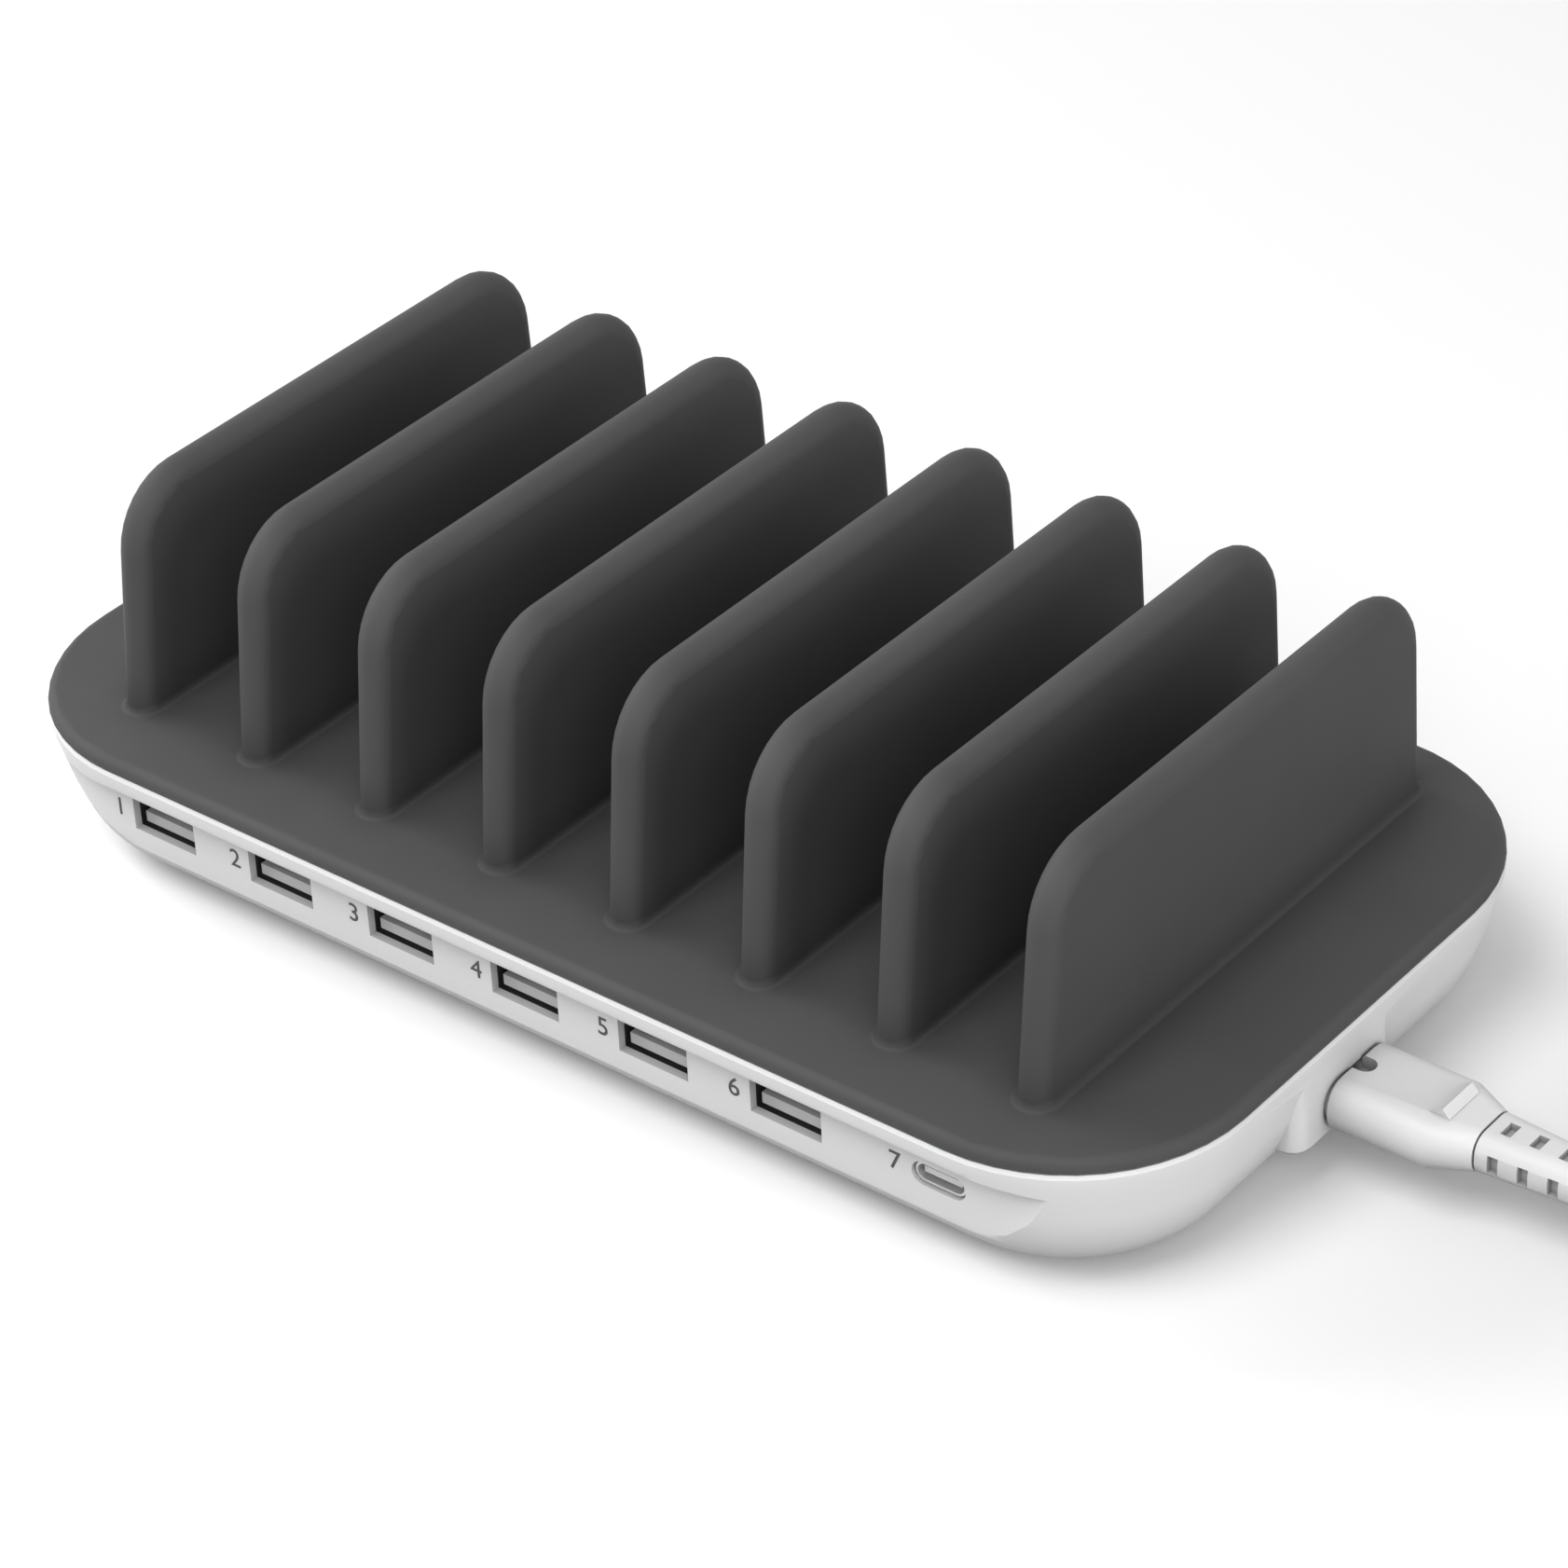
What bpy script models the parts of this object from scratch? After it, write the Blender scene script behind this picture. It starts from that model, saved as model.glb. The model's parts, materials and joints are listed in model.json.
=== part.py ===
"""Desktop charging station: seven upright bays over a mains-fed hub with front sockets.

Metres, +Z up. The origin is on the table under the middle of the case, the
sockets face -Y and the mains lead leaves along +X.
"""

import math

import bmesh
import bpy
from mathutils import Matrix, Vector

# Shared clearances
GAP = 0.0003
OVERRUN = 0.003
MERGE_DISTANCE = 0.00001

# Case plan and levels, which the shell and the deck share
CASE_LENGTH = 0.225
CASE_WIDTH = 0.1205
CASE_CORNER = 0.0305
CORNER_STEPS = 12
SHELL_BOTTOM = 0.0021
PARTING_HEIGHT = 0.026

# Shell: a tray whose wall tucks in towards its floor
SHELL_WALL = 0.0022
SHELL_FLOOR = 0.0022
SHELL_TUCK = 0.0141
SHELL_TOP = PARTING_HEIGHT - GAP
SHELL_SIDE_shares = (
    (0.0, 0.02),
    (0.03, 0.0),
    (0.09, 0.01),
    (0.22, 0.065),
    (0.435, 0.155),
    (0.62, 0.26),
    (0.735, 0.345),
    (0.83, 0.45),
    (0.895, 0.56),
    (0.945, 0.69),
    (0.98, 0.84),
    (1.0, 1.0),
)

# Flat front under the shell's rim
FACE_SETBACK = 0.00475
FACE_WALL = 0.0014
FACE_DROP = 0.0055
RIM_DROP = 0.0038
RIM_EDGE = 0.0009
RIM_EDGE_INSET = 0.0005
RIM_EDGE_STEPS = 4
FACE_OFFSET = CASE_WIDTH / 2 - FACE_SETBACK
FACE_INSIDE = FACE_OFFSET - FACE_WALL
FACE_TOP = PARTING_HEIGHT - FACE_DROP
RIM_UNDERSIDE = PARTING_HEIGHT - RIM_DROP

# Deck and its bays
DECK_RISE = 0.0022
DECK_LIP = 0.0003
DECK_EDGE_INSET = 0.0016
DECK_EDGE_STEPS = 4
DECK_TOP = PARTING_HEIGHT + DECK_RISE
SKIRT_WALL = 0.0014
SKIRT_DROP = 0.004
SKIRT_CLEARANCE = 0.0011
FIN_COUNT = 8
FIN_END_SPACE = 0.025
FIN_PITCH = (CASE_LENGTH - FIN_END_SPACE * 2) / (FIN_COUNT - 1)
FIN_THICKNESS = 0.0056
FIN_HEIGHT = 0.0391
FIN_FRONT_SETBACK = 0.01205
FIN_BACK_SETBACK = 0.00985
FIN_FRONT = FIN_FRONT_SETBACK - CASE_WIDTH / 2
FIN_BACK = CASE_WIDTH / 2 - FIN_BACK_SETBACK
FIN_DRAFT_share = 0.111
FIN_BACK_DRAFT_share = 0.05
FIN_CORNER = 0.013
FIN_CORNER_STEPS = 8
FIN_EDGE_STEPS = 8
FIN_FILLET = 0.0012
FIN_FILLET_STEPS = 4
FIN_WALL = 0.0016
FIN_ROOF = 0.003

# Front sockets, one to a bay
PORT_COUNT = 6
PORT_OFFSET = 0.0005
PORT_DROP = 0.0024
PORT_MOUTH_WIDTH = 0.0132
PORT_MOUTH_HEIGHT = 0.0059
PORT_HEIGHT = FACE_TOP - PORT_DROP - PORT_MOUTH_HEIGHT / 2
CAN_FRONT = GAP - FACE_INSIDE
CAN_WALL = 0.0005
CAN_WIDTH = 0.0145
CAN_HEIGHT = 0.0070
CAN_DEPTH = 0.0140
TONGUE_WIDTH = 0.0118
TONGUE_THICKNESS = 0.0019
TONGUE_LIFT = 0.0007
TONGUE_SETBACK = 0.0002
TONGUE_ROOT = 0.0030
TONGUE_SIDE = 0.0004
USBC_OFFSET = 0.0023
USBC_MOUTH_WIDTH = 0.0097
USBC_MOUTH_HEIGHT = 0.0041
USBC_WIDTH = 0.0091
USBC_HEIGHT = 0.0035
USBC_WALL = 0.0004
USBC_DEPTH = 0.0085
USBC_RECESS = 0.0006
USBC_TONGUE_WIDTH = 0.0067
USBC_TONGUE_THICKNESS = 0.0010
USBC_TONGUE_SETBACK = 0.0006
USBC_ROOT = 0.0020
ROUND_END_STEPS = 8

# Case screws and feet
COLUMN_SETBACK = 0.0213
COLUMN_CAN_SPACE = 0.0058
COLUMN_BACK_SETBACK = 0.02725
COLUMN_RADIUS = 0.0040
COLUMN_DROP = 0.0110
COLUMN_X = CASE_LENGTH / 2 - COLUMN_SETBACK
COLUMN_FRONT_Y = CAN_FRONT + CAN_DEPTH + COLUMN_RADIUS + COLUMN_CAN_SPACE
COLUMN_BACK_Y = CASE_WIDTH / 2 - COLUMN_BACK_SETBACK
COLUMN_TOP = PARTING_HEIGHT - COLUMN_DROP
CASE_SCREW_RADIUS = 0.0014
CASE_SCREW_HEAD_RADIUS = 0.0027
CASE_SCREW_HEAD = 0.0017
CASE_SCREW_SINK = 0.0030
CASE_SCREW_GRIP = 0.0060
FOOT_RADIUS = 0.0055
FOOT_END_SETBACK = 0.0365
FOOT_SIDE_SETBACK = 0.02425
FOOT_X = CASE_LENGTH / 2 - FOOT_END_SETBACK
FOOT_Y = CASE_WIDTH / 2 - FOOT_SIDE_SETBACK
FOOT_POCKET = 0.0008
FOOT_EDGE = 0.0004

# Board
FLOOR_TOP = SHELL_BOTTOM + SHELL_FLOOR
BOARD_THICKNESS = 0.0016
BOARD_CLEARANCE = 0.0014
BOARD_WALL_SPACE = 0.0018
BOARD_BACK_SETBACK = 0.01625
BOARD_HALF_LENGTH = COLUMN_X - COLUMN_RADIUS - BOARD_CLEARANCE
BOARD_BACK = CASE_WIDTH / 2 - BOARD_BACK_SETBACK
BOARD_TOP = PORT_HEIGHT - CAN_HEIGHT / 2 - GAP
BOARD_BOTTOM = BOARD_TOP - BOARD_THICKNESS
BOARD_POST_RADIUS = 0.0032
BOARD_POST_PLACES_shares = ((-0.88, -0.52), (0.90, -0.58), (-0.88, 0.86), (0.90, 0.86))
BOARD_SCREW_RADIUS = 0.0012
BOARD_SCREW_HEAD_RADIUS = 0.0024
BOARD_SCREW_HEAD = 0.0014
BOARD_SCREW_GRIP_share = 0.64
BOARD_SCREW_GRIP = (BOARD_TOP - FLOOR_TOP) * BOARD_SCREW_GRIP_share

# Mains inlet behind its boss, and the lead's connector, on one axis
INLET_Y = -0.0015
INLET_DROP = 0.01205
INLET_HEIGHT = PARTING_HEIGHT - INLET_DROP
BOSS_SETBACK = 0.0005
BOSS_DEPTH = 0.0140
BOSS_FRONT_REACH = 0.0143
BOSS_BACK_REACH = 0.0105
BOSS_HANG = 0.00625
BOSS_DROP = 0.0025
BOSS_EDGE = 0.0032
BOSS_SOFT = 0.0016
BOSS_EDGE_STEPS = 4
BOSS_FACE = CASE_LENGTH / 2 - BOSS_SETBACK
BOSS_ROOT = BOSS_FACE - BOSS_DEPTH
BOSS_BOTTOM = INLET_HEIGHT - BOSS_HANG
BOSS_TOP = PARTING_HEIGHT - BOSS_DROP
INLET_BODY_WIDTH = 0.0180
INLET_BODY_HEIGHT = 0.0094
INLET_BODY_DEPTH = 0.0160
INLET_FRONT = BOSS_FACE - SHELL_WALL - GAP
INLET_BACK = INLET_FRONT - INLET_BODY_DEPTH
CONTACT_SPREAD = 0.0086
NOSE_DIAMETER = 0.0066
NOSE_REACH = 0.0105
NOSE_CLEARANCE = 0.0003
PIN_RADIUS = 0.0012
PIN_REACH = 0.0078
PIN_TAIL = 0.0030
PIN_BORE_CLEARANCE = 0.0002

# Lead connector and its strain relief
PLUG_BODY_WIDTH = 0.0164
PLUG_BODY_HEIGHT = 0.0086
PLUG_BODY_EDGE = 0.0038
PLUG_LIP_share = 0.125
PLUG_EDGE_STEPS = 5
PLUG_STRAIGHT = 0.0166
PLUG_TAPER = 0.0064
PLUG_NECK_WIDTH = 0.0104
PLUG_NECK_HEIGHT = 0.0073
NOTCH_RADIUS = 0.0017
NOTCH_LENGTH = 0.0034
NOTCH_DEPTH = 0.0024
GRIP_START = 0.0150
GRIP_RAMP = 0.0022
GRIP_FALL = 0.0012
GRIP_LENGTH = 0.0078
GRIP_RISE = 0.0013
RELIEF_LENGTH = 0.0268
RELIEF_WIDTH = 0.0100
RELIEF_HEIGHT = 0.0069
RELIEF_END = 0.0068
RELIEF_EDGE_share = 0.4
RELIEF_END_EDGE_share = 0.45
RELIEF_SLOTS = 5
RELIEF_SLOT_WIDTH = 0.0017
RELIEF_SLOT_LENGTH = 0.0030
RELIEF_SLOT_DEPTH = 0.0012
RELIEF_SLOT_PITCH = 0.0048
RELIEF_SLOT_START_share = 0.6
SPIGOT_LENGTH = 0.0020
SPIGOT_INSET = 0.0006
CONNECTOR_START = BOSS_FACE + GAP
NECK_END = CONNECTOR_START + PLUG_STRAIGHT + PLUG_TAPER
RELIEF_START = NECK_END + GAP
RELIEF_FINISH = RELIEF_START + RELIEF_LENGTH

# Cord: a drop to the table, a tied coil of two layers and a tail to the wall plug
CORD_DIAMETER = 0.0060
CORD_RADIUS = CORD_DIAMETER / 2
CORD_FLOOR_GAP = 0.0001
RUN_REACH = 0.0666
COIL_OUTER = 0.0455
COIL_SPACE = 0.0006
COIL_PITCH = CORD_DIAMETER + COIL_SPACE
COIL_LAYER = CORD_DIAMETER + COIL_SPACE
COIL_TURNS_A_LAYER = 3.25
COIL_POINTS_A_LOOP = 24
TIE_WIDTH = 0.0050
TIE_THICKNESS = 0.0006
TIE_CLEARANCE = 0.0006
TIE_EDGE_STEPS = 4
TIE_TURN_share = 0.75
TAIL_LENGTH = 0.0230
COIL_START_X = RELIEF_FINISH + RUN_REACH
COIL_X = COIL_START_X + CORD_DIAMETER
COIL_Y = INLET_Y + COIL_OUTER
COIL_REST = CORD_FLOOR_GAP + TIE_THICKNESS + TIE_CLEARANCE + CORD_RADIUS

# Wall plug, lying on its side
WALL_BODY_WIDTH = 0.0240
WALL_BODY_HEIGHT = 0.0160
WALL_BODY_LENGTH = 0.0260
WALL_BODY_EDGE = 0.0040
WALL_NECK_LENGTH = 0.0080
WALL_NECK_WIDTH = 0.0110
WALL_RELIEF_LENGTH = 0.0220
WALL_RELIEF_RADIUS = 0.0048
WALL_RELIEF_END = 0.0037
WALL_RELIEF_RIBS = 4
WALL_RIB_share = 0.6
WALL_GROOVE_share = 0.8
WALL_AXIS_HEIGHT = WALL_BODY_HEIGHT / 2 + CORD_FLOOR_GAP
BLADE_SPREAD = 0.0127
BLADE_THICKNESS = 0.0015
BLADE_WIDTH = 0.00635
BLADE_LENGTH = 0.0165
BLADE_HOLE_RADIUS = 0.0016
BLADE_HOLE_SETBACK = 0.0040

# Power stage on the board: places are a share of the board's half length and a
# setback from its back edge, heights stop short of the deck
STAGE_BASE = BOARD_TOP + GAP
STAGE_ROOM = PARTING_HEIGHT - STAGE_BASE
CORE_SIZE = (0.0300, 0.0260, 0.0070)
CORE_PLACE_share = 0.35
CORE_SETBACK = 0.0300
CORE_LEG = 0.0070
CORE_WINDOW_DEPTH = 0.0150
CORE_LIMB = 0.0030
WINDING_HEADROOM = 0.0024
WINDING_HEIGHT = STAGE_ROOM - WINDING_HEADROOM
BULK_RADIUS = 0.0052
BULK_LENGTH = 0.0260
BULK_COUNT = 2
BULK_PLACE_share = 0.79
BULK_SETBACK = 0.0300
BULK_SPACE = 0.0026
OUTPUT_RADIUS = 0.0040
OUTPUT_HEADROOM = 0.0046
OUTPUT_HEIGHT = STAGE_ROOM - OUTPUT_HEADROOM
OUTPUT_COUNT = 3
OUTPUT_PLACE_share = -0.12
OUTPUT_SETBACK = 0.0160
OUTPUT_SPACE = 0.0030
VENT_GROOVE = 0.0004
CHOKE_RADIUS = 0.0065
CHOKE_HEADROOM = 0.0052
CHOKE_HEIGHT = STAGE_ROOM - CHOKE_HEADROOM
CHOKE_FLANGE = 0.0012
CHOKE_WAIST = 0.0045
CHOKE_PLACE_share = -0.37
CHOKE_SETBACK = 0.0280
SINK_LENGTH = 0.0320
SINK_HEADROOM = 0.0047
SINK_HEIGHT = STAGE_ROOM - SINK_HEADROOM
SINK_WALL = 0.0015
SINK_FINS = 5
SINK_FIN_DEPTH = 0.0060
SINK_PLACE_share = -0.74
SINK_SETBACK = 0.0340
FUSE_RADIUS = 0.0026
FUSE_LENGTH = 0.0200
FUSE_CAP = 0.0045
FUSE_WAIST = 0.0022
FUSE_PLACE_share = 0.79
FUSE_SETBACK = 0.0155

# Derived depth of the shell
SHELL_DEPTH = SHELL_TOP - SHELL_BOTTOM


def clear_scene():
    for obj in list(bpy.data.objects):
        bpy.data.objects.remove(obj, do_unlink=True)


def new_collection(name):
    collection = bpy.data.collections.new(name)
    bpy.context.scene.collection.children.link(collection)
    return collection


def new_material(name, colour, roughness, metallic=0.0):
    material = bpy.data.materials.new(name)
    material.use_nodes = True
    shader = material.node_tree.nodes["Principled BSDF"]
    shader.inputs["Base Color"].default_value = (*colour, 1.0)
    shader.inputs["Roughness"].default_value = roughness
    shader.inputs["Metallic"].default_value = metallic
    return material


def mesh_object(name, bm, material=None):
    """A named object from a bmesh: a part with a material, or else a cutter."""
    bmesh.ops.recalc_face_normals(bm, faces=bm.faces)
    mesh = bpy.data.meshes.new(name)
    bm.to_mesh(mesh)
    bm.free()
    obj = bpy.data.objects.new(name, mesh)
    if material is None:
        CUTTERS.objects.link(obj)
        obj.hide_render = True
        obj.display_type = "WIRE"
    else:
        PARTS.objects.link(obj)
        mesh.materials.append(material)
        obj.parent = STATION
    return obj


def smooth(obj, degrees=35):
    obj.data.shade_smooth()
    obj.data.set_sharp_from_angle(angle=math.radians(degrees))


def combine(obj, other, operation="DIFFERENCE"):
    modifier = obj.modifiers.new(other.name, "BOOLEAN")
    modifier.operation = operation
    modifier.object = other
    modifier.solver = "EXACT"


def bevel(obj, width, segments=2, degrees=40):
    modifier = obj.modifiers.new("Bevel", "BEVEL")
    modifier.width = width
    modifier.segments = segments
    modifier.limit_method = "ANGLE"
    modifier.angle_limit = math.radians(degrees)


def add_box(bm, centre, size):
    matrix = Matrix.Translation(centre) @ Matrix.Diagonal((*size, 1))
    bmesh.ops.create_cube(bm, size=1, matrix=matrix)


def add_span(bm, low, high):
    """A box between two opposite corners."""
    centre = [(a + b) / 2 for a, b in zip(low, high)]
    add_box(bm, centre, [b - a for a, b in zip(low, high)])


TURNS = {
    "X": Matrix.Rotation(math.radians(90), 4, "Y"),
    "Y": Matrix.Rotation(math.radians(-90), 4, "X"),
    "Z": Matrix.Identity(4),
}


def add_cylinder(bm, centre, radius, depth, axis="Z", segments=20, far_radius=None):
    """A cylinder or a cone, whose second radius is at the axis's positive end."""
    bmesh.ops.create_cone(
        bm,
        cap_ends=True,
        segments=segments,
        radius1=radius,
        radius2=radius if far_radius is None else far_radius,
        depth=depth,
        matrix=Matrix.Translation(centre) @ TURNS[axis],
    )


def box_part(name, low, high, material, edge=0.0, segments=2):
    bm = bmesh.new()
    add_span(bm, low, high)
    obj = mesh_object(name, bm, material)
    if edge:
        bevel(obj, edge, segments)
    return obj


def add_loft(bm, rings):
    """Skins rings of equal count, one to the next, and closes both ends."""
    rows = [[bm.verts.new(point) for point in ring] for ring in rings]
    for low, high in zip(rows, rows[1:]):
        for i, vertex in enumerate(low):
            j = (i + 1) % len(low)
            bm.faces.new((vertex, low[j], high[j], high[i]))
    bm.faces.new(rows[0][::-1])
    bm.faces.new(rows[-1])


def rounded_plan(half_length, front, back, radius, steps=CORNER_STEPS):
    """Rounded rectangle between y = front and y = back, anticlockwise."""
    corners = (
        (half_length - radius, front + radius, -90),
        (half_length - radius, back - radius, 0),
        (radius - half_length, back - radius, 90),
        (radius - half_length, front + radius, 180),
    )
    points = []
    for x, y, start in corners:
        for step in range(steps + 1):
            turn = math.radians(start + 90 * step / steps)
            points.append((x + radius * math.cos(turn), y + radius * math.sin(turn)))
    return points


def case_ring(inset, height, front_limit=None):
    """The case's outline drawn in by an inset, cut short at the front if asked."""
    half_width = CASE_WIDTH / 2 - inset
    front = -half_width if front_limit is None else -min(half_width, front_limit)
    plan = rounded_plan(
        CASE_LENGTH / 2 - inset, front, half_width, CASE_CORNER - inset
    )
    return [(x, y, height) for x, y in plan]


def oblong_ring(width, height, steps=ROUND_END_STEPS):
    """Outline with half-round ends, wide along its first axis."""
    radius = height / 2
    reach = width / 2 - radius
    points = []
    for side, start in ((1, -90), (-1, 90)):
        for step in range(steps + 1):
            turn = math.radians(start + 180 * step / steps)
            points.append((side * reach + radius * math.cos(turn), radius * math.sin(turn)))
    return points


# Shell


def shell_body():
    bm = bmesh.new()
    add_loft(
        bm,
        [
            case_ring(SHELL_TUCK * tuck, SHELL_TOP - SHELL_DEPTH * depth)
            for depth, tuck in SHELL_SIDE_shares[::-1]
        ],
    )
    return mesh_object("base_shell", bm, SHELL_WHITE)


def shell_cavity():
    depth_inside = SHELL_DEPTH - SHELL_FLOOR
    rings = [
        case_ring(
            SHELL_WALL + SHELL_TUCK * tuck, SHELL_TOP - depth_inside * depth, FACE_INSIDE
        )
        for depth, tuck in SHELL_SIDE_shares[:0:-1]
    ]
    rings.append(case_ring(SHELL_WALL, SHELL_TOP + OVERRUN, FACE_INSIDE))
    bm = bmesh.new()
    add_loft(bm, rings)
    return mesh_object("shell_cavity", bm)


def face_recess():
    """The flat front under the rim: the rim's underside slopes and its edge is round."""
    slope = (RIM_UNDERSIDE - FACE_TOP) / (CASE_WIDTH / 2 - FACE_OFFSET)
    lean = math.atan(slope)
    outside = CASE_WIDTH / 2 + OVERRUN
    edge_y = CASE_WIDTH / 2 - RIM_EDGE_INSET - RIM_EDGE
    edge_z = FACE_TOP + slope * (edge_y - FACE_OFFSET) + RIM_EDGE / math.cos(lean)
    profile = [(-FACE_OFFSET, SHELL_BOTTOM - OVERRUN), (-FACE_OFFSET, FACE_TOP)]
    for step in range(RIM_EDGE_STEPS + 1):
        turn = lean + (math.pi / 2 - lean) * step / RIM_EDGE_STEPS
        y = -edge_y - RIM_EDGE * math.sin(turn)
        profile.append((y, edge_z - RIM_EDGE * math.cos(turn)))
    profile += [(-outside, edge_z), (-outside, SHELL_BOTTOM - OVERRUN)]
    bm = bmesh.new()
    add_loft(
        bm,
        [[(side * CASE_LENGTH / 2, y, z) for y, z in profile] for side in (-1, 1)],
    )
    return mesh_object("face_recess", bm)


def boss_block():
    """The inlet's boss, upright where the wall behind it tucks in."""
    middle = (BOSS_FACE + BOSS_ROOT) / 2
    rings = []
    for inset, z in (
        (BOSS_SOFT, BOSS_BOTTOM),
        (0.0, BOSS_BOTTOM + BOSS_SOFT),
        (0.0, BOSS_TOP),
    ):
        plan = rounded_plan(
            BOSS_DEPTH / 2 - inset,
            inset - BOSS_FRONT_REACH,
            BOSS_BACK_REACH - inset,
            BOSS_EDGE - inset,
            BOSS_EDGE_STEPS,
        )
        rings.append([(middle + x, INLET_Y + y, z) for x, y in plan])
    bm = bmesh.new()
    add_loft(bm, rings)
    return mesh_object("boss_block", bm)


def inlet_pocket():
    """The room behind the boss's wall, which the inlet goes into from inside."""
    half_width = INLET_BODY_WIDTH / 2 + GAP
    half_height = INLET_BODY_HEIGHT / 2 + GAP
    bm = bmesh.new()
    add_span(
        bm,
        (INLET_BACK - OVERRUN, INLET_Y - half_width, INLET_HEIGHT - half_height),
        (INLET_FRONT + GAP, INLET_Y + half_width, INLET_HEIGHT + half_height),
    )
    return mesh_object("inlet_pocket", bm)


def inlet_window():
    """The round-ended hole in the boss's wall that the connector's nose goes through."""
    height = NOSE_DIAMETER + NOSE_CLEARANCE * 2
    ring = oblong_ring(CONTACT_SPREAD + height, height)
    bm = bmesh.new()
    add_loft(
        bm,
        [
            [(x, INLET_Y + a, INLET_HEIGHT + b) for a, b in ring]
            for x in (INLET_FRONT, BOSS_FACE + OVERRUN)
        ],
    )
    return mesh_object("inlet_window", bm)


def bay_middles():
    fins = fin_positions()
    return [(a + b) / 2 for a, b in zip(fins, fins[1:])]


def port_positions():
    return [x - PORT_OFFSET for x in bay_middles()[:PORT_COUNT]]


def usb_c_position():
    return bay_middles()[PORT_COUNT] + USBC_OFFSET


def port_mouths():
    bm = bmesh.new()
    for x in port_positions():
        add_box(
            bm,
            (x, -FACE_OFFSET, PORT_HEIGHT),
            (PORT_MOUTH_WIDTH, (SHELL_WALL + GAP) * 2, PORT_MOUTH_HEIGHT),
        )
    return mesh_object("port_mouths", bm)


def socket_rooms():
    """Room behind the front wall for the cans and for the small socket's riser."""
    sockets = [(x, CAN_WIDTH) for x in port_positions()]
    sockets.append((usb_c_position(), USBC_TONGUE_WIDTH))
    bm = bmesh.new()
    for x, width in sockets:
        half = width / 2 + GAP
        add_span(
            bm,
            (x - half, -FACE_INSIDE, BOARD_TOP),
            (x + half, CAN_FRONT + CAN_DEPTH + GAP, PORT_HEIGHT + CAN_HEIGHT / 2 + GAP),
        )
    return mesh_object("socket_rooms", bm)


def usb_c_mouth():
    middle = usb_c_position()
    ring = oblong_ring(USBC_MOUTH_WIDTH, USBC_MOUTH_HEIGHT)
    bm = bmesh.new()
    add_loft(
        bm,
        [
            [(middle + x, y, PORT_HEIGHT + z) for x, z in ring]
            for y in (-FACE_OFFSET - OVERRUN, -FACE_INSIDE + OVERRUN)
        ],
    )
    return mesh_object("usb_c_mouth", bm)


def column_places():
    return [
        (side * COLUMN_X, y)
        for side in (-1, 1)
        for y in (COLUMN_FRONT_Y, COLUMN_BACK_Y)
    ]


def board_post_places():
    return [
        (BOARD_HALF_LENGTH * along, BOARD_BACK * across)
        for along, across in BOARD_POST_PLACES_shares
    ]


def shell_columns():
    """Hollow columns for the case screws and posts under the board."""
    bm = bmesh.new()
    low = FLOOR_TOP - SHELL_FLOOR / 2
    for x, y in column_places():
        add_cylinder(
            bm, (x, y, (low + COLUMN_TOP) / 2), COLUMN_RADIUS, COLUMN_TOP - low
        )
    top = BOARD_BOTTOM - GAP
    for x, y in board_post_places():
        add_cylinder(bm, (x, y, (low + top) / 2), BOARD_POST_RADIUS, top - low, segments=16)
    return mesh_object("shell_columns", bm)


def shell_bores():
    """Screw holes through the columns, and blind ones in the board's posts."""
    bm = bmesh.new()
    sink_top = SHELL_BOTTOM + CASE_SCREW_SINK
    for x, y in column_places():
        add_cylinder(
            bm,
            (x, y, (sink_top + COLUMN_TOP + OVERRUN) / 2 - OVERRUN / 2),
            CASE_SCREW_RADIUS + GAP,
            COLUMN_TOP - sink_top + OVERRUN * 2,
            segments=12,
        )
    board_grip = BOARD_TOP - BOARD_SCREW_GRIP - GAP
    for x, y in board_post_places():
        add_cylinder(
            bm,
            (x, y, (board_grip + BOARD_BOTTOM + OVERRUN) / 2),
            BOARD_SCREW_RADIUS + GAP,
            BOARD_BOTTOM + OVERRUN - board_grip,
            segments=12,
        )
    return mesh_object("shell_bores", bm)


def screw_sinks():
    bm = bmesh.new()
    for x, y in column_places():
        add_cylinder(
            bm,
            (x, y, SHELL_BOTTOM + (CASE_SCREW_SINK - OVERRUN) / 2),
            CASE_SCREW_HEAD_RADIUS + GAP,
            CASE_SCREW_SINK + OVERRUN,
            segments=16,
        )
    return mesh_object("screw_sinks", bm)


def foot_places():
    return [(side * FOOT_X, end * FOOT_Y) for side in (-1, 1) for end in (-1, 1)]


def foot_pockets():
    bm = bmesh.new()
    for x, y in foot_places():
        add_cylinder(
            bm,
            (x, y, SHELL_BOTTOM + (FOOT_POCKET - OVERRUN) / 2),
            FOOT_RADIUS + GAP,
            FOOT_POCKET + OVERRUN,
        )
    return mesh_object("foot_pockets", bm)


def make_shell():
    shell = shell_body()
    combine(shell, boss_block(), "UNION")
    combine(shell, face_recess())
    combine(shell, shell_cavity())
    combine(shell, shell_columns(), "UNION")
    for cutter in (
        port_mouths(),
        usb_c_mouth(),
        inlet_pocket(),
        inlet_window(),
        socket_rooms(),
        screw_sinks(),
        shell_bores(),
        foot_pockets(),
    ):
        combine(shell, cutter)
    smooth(shell)


# Deck with its fins


def deck_plate():
    """The deck's slab, with a quarter-round edge over a small lip."""
    rings = [case_ring(DECK_LIP, PARTING_HEIGHT)]
    for step in range(DECK_EDGE_STEPS + 1):
        turn = math.radians(90) * step / DECK_EDGE_STEPS
        inset = DECK_EDGE_INSET * (1 - math.cos(turn))
        rise = DECK_LIP + (DECK_RISE - DECK_LIP) * math.sin(turn)
        rings.append(case_ring(inset, PARTING_HEIGHT + rise))
    bm = bmesh.new()
    add_loft(bm, rings)
    return mesh_object("top_deck", bm, DECK_GREY)


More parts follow.
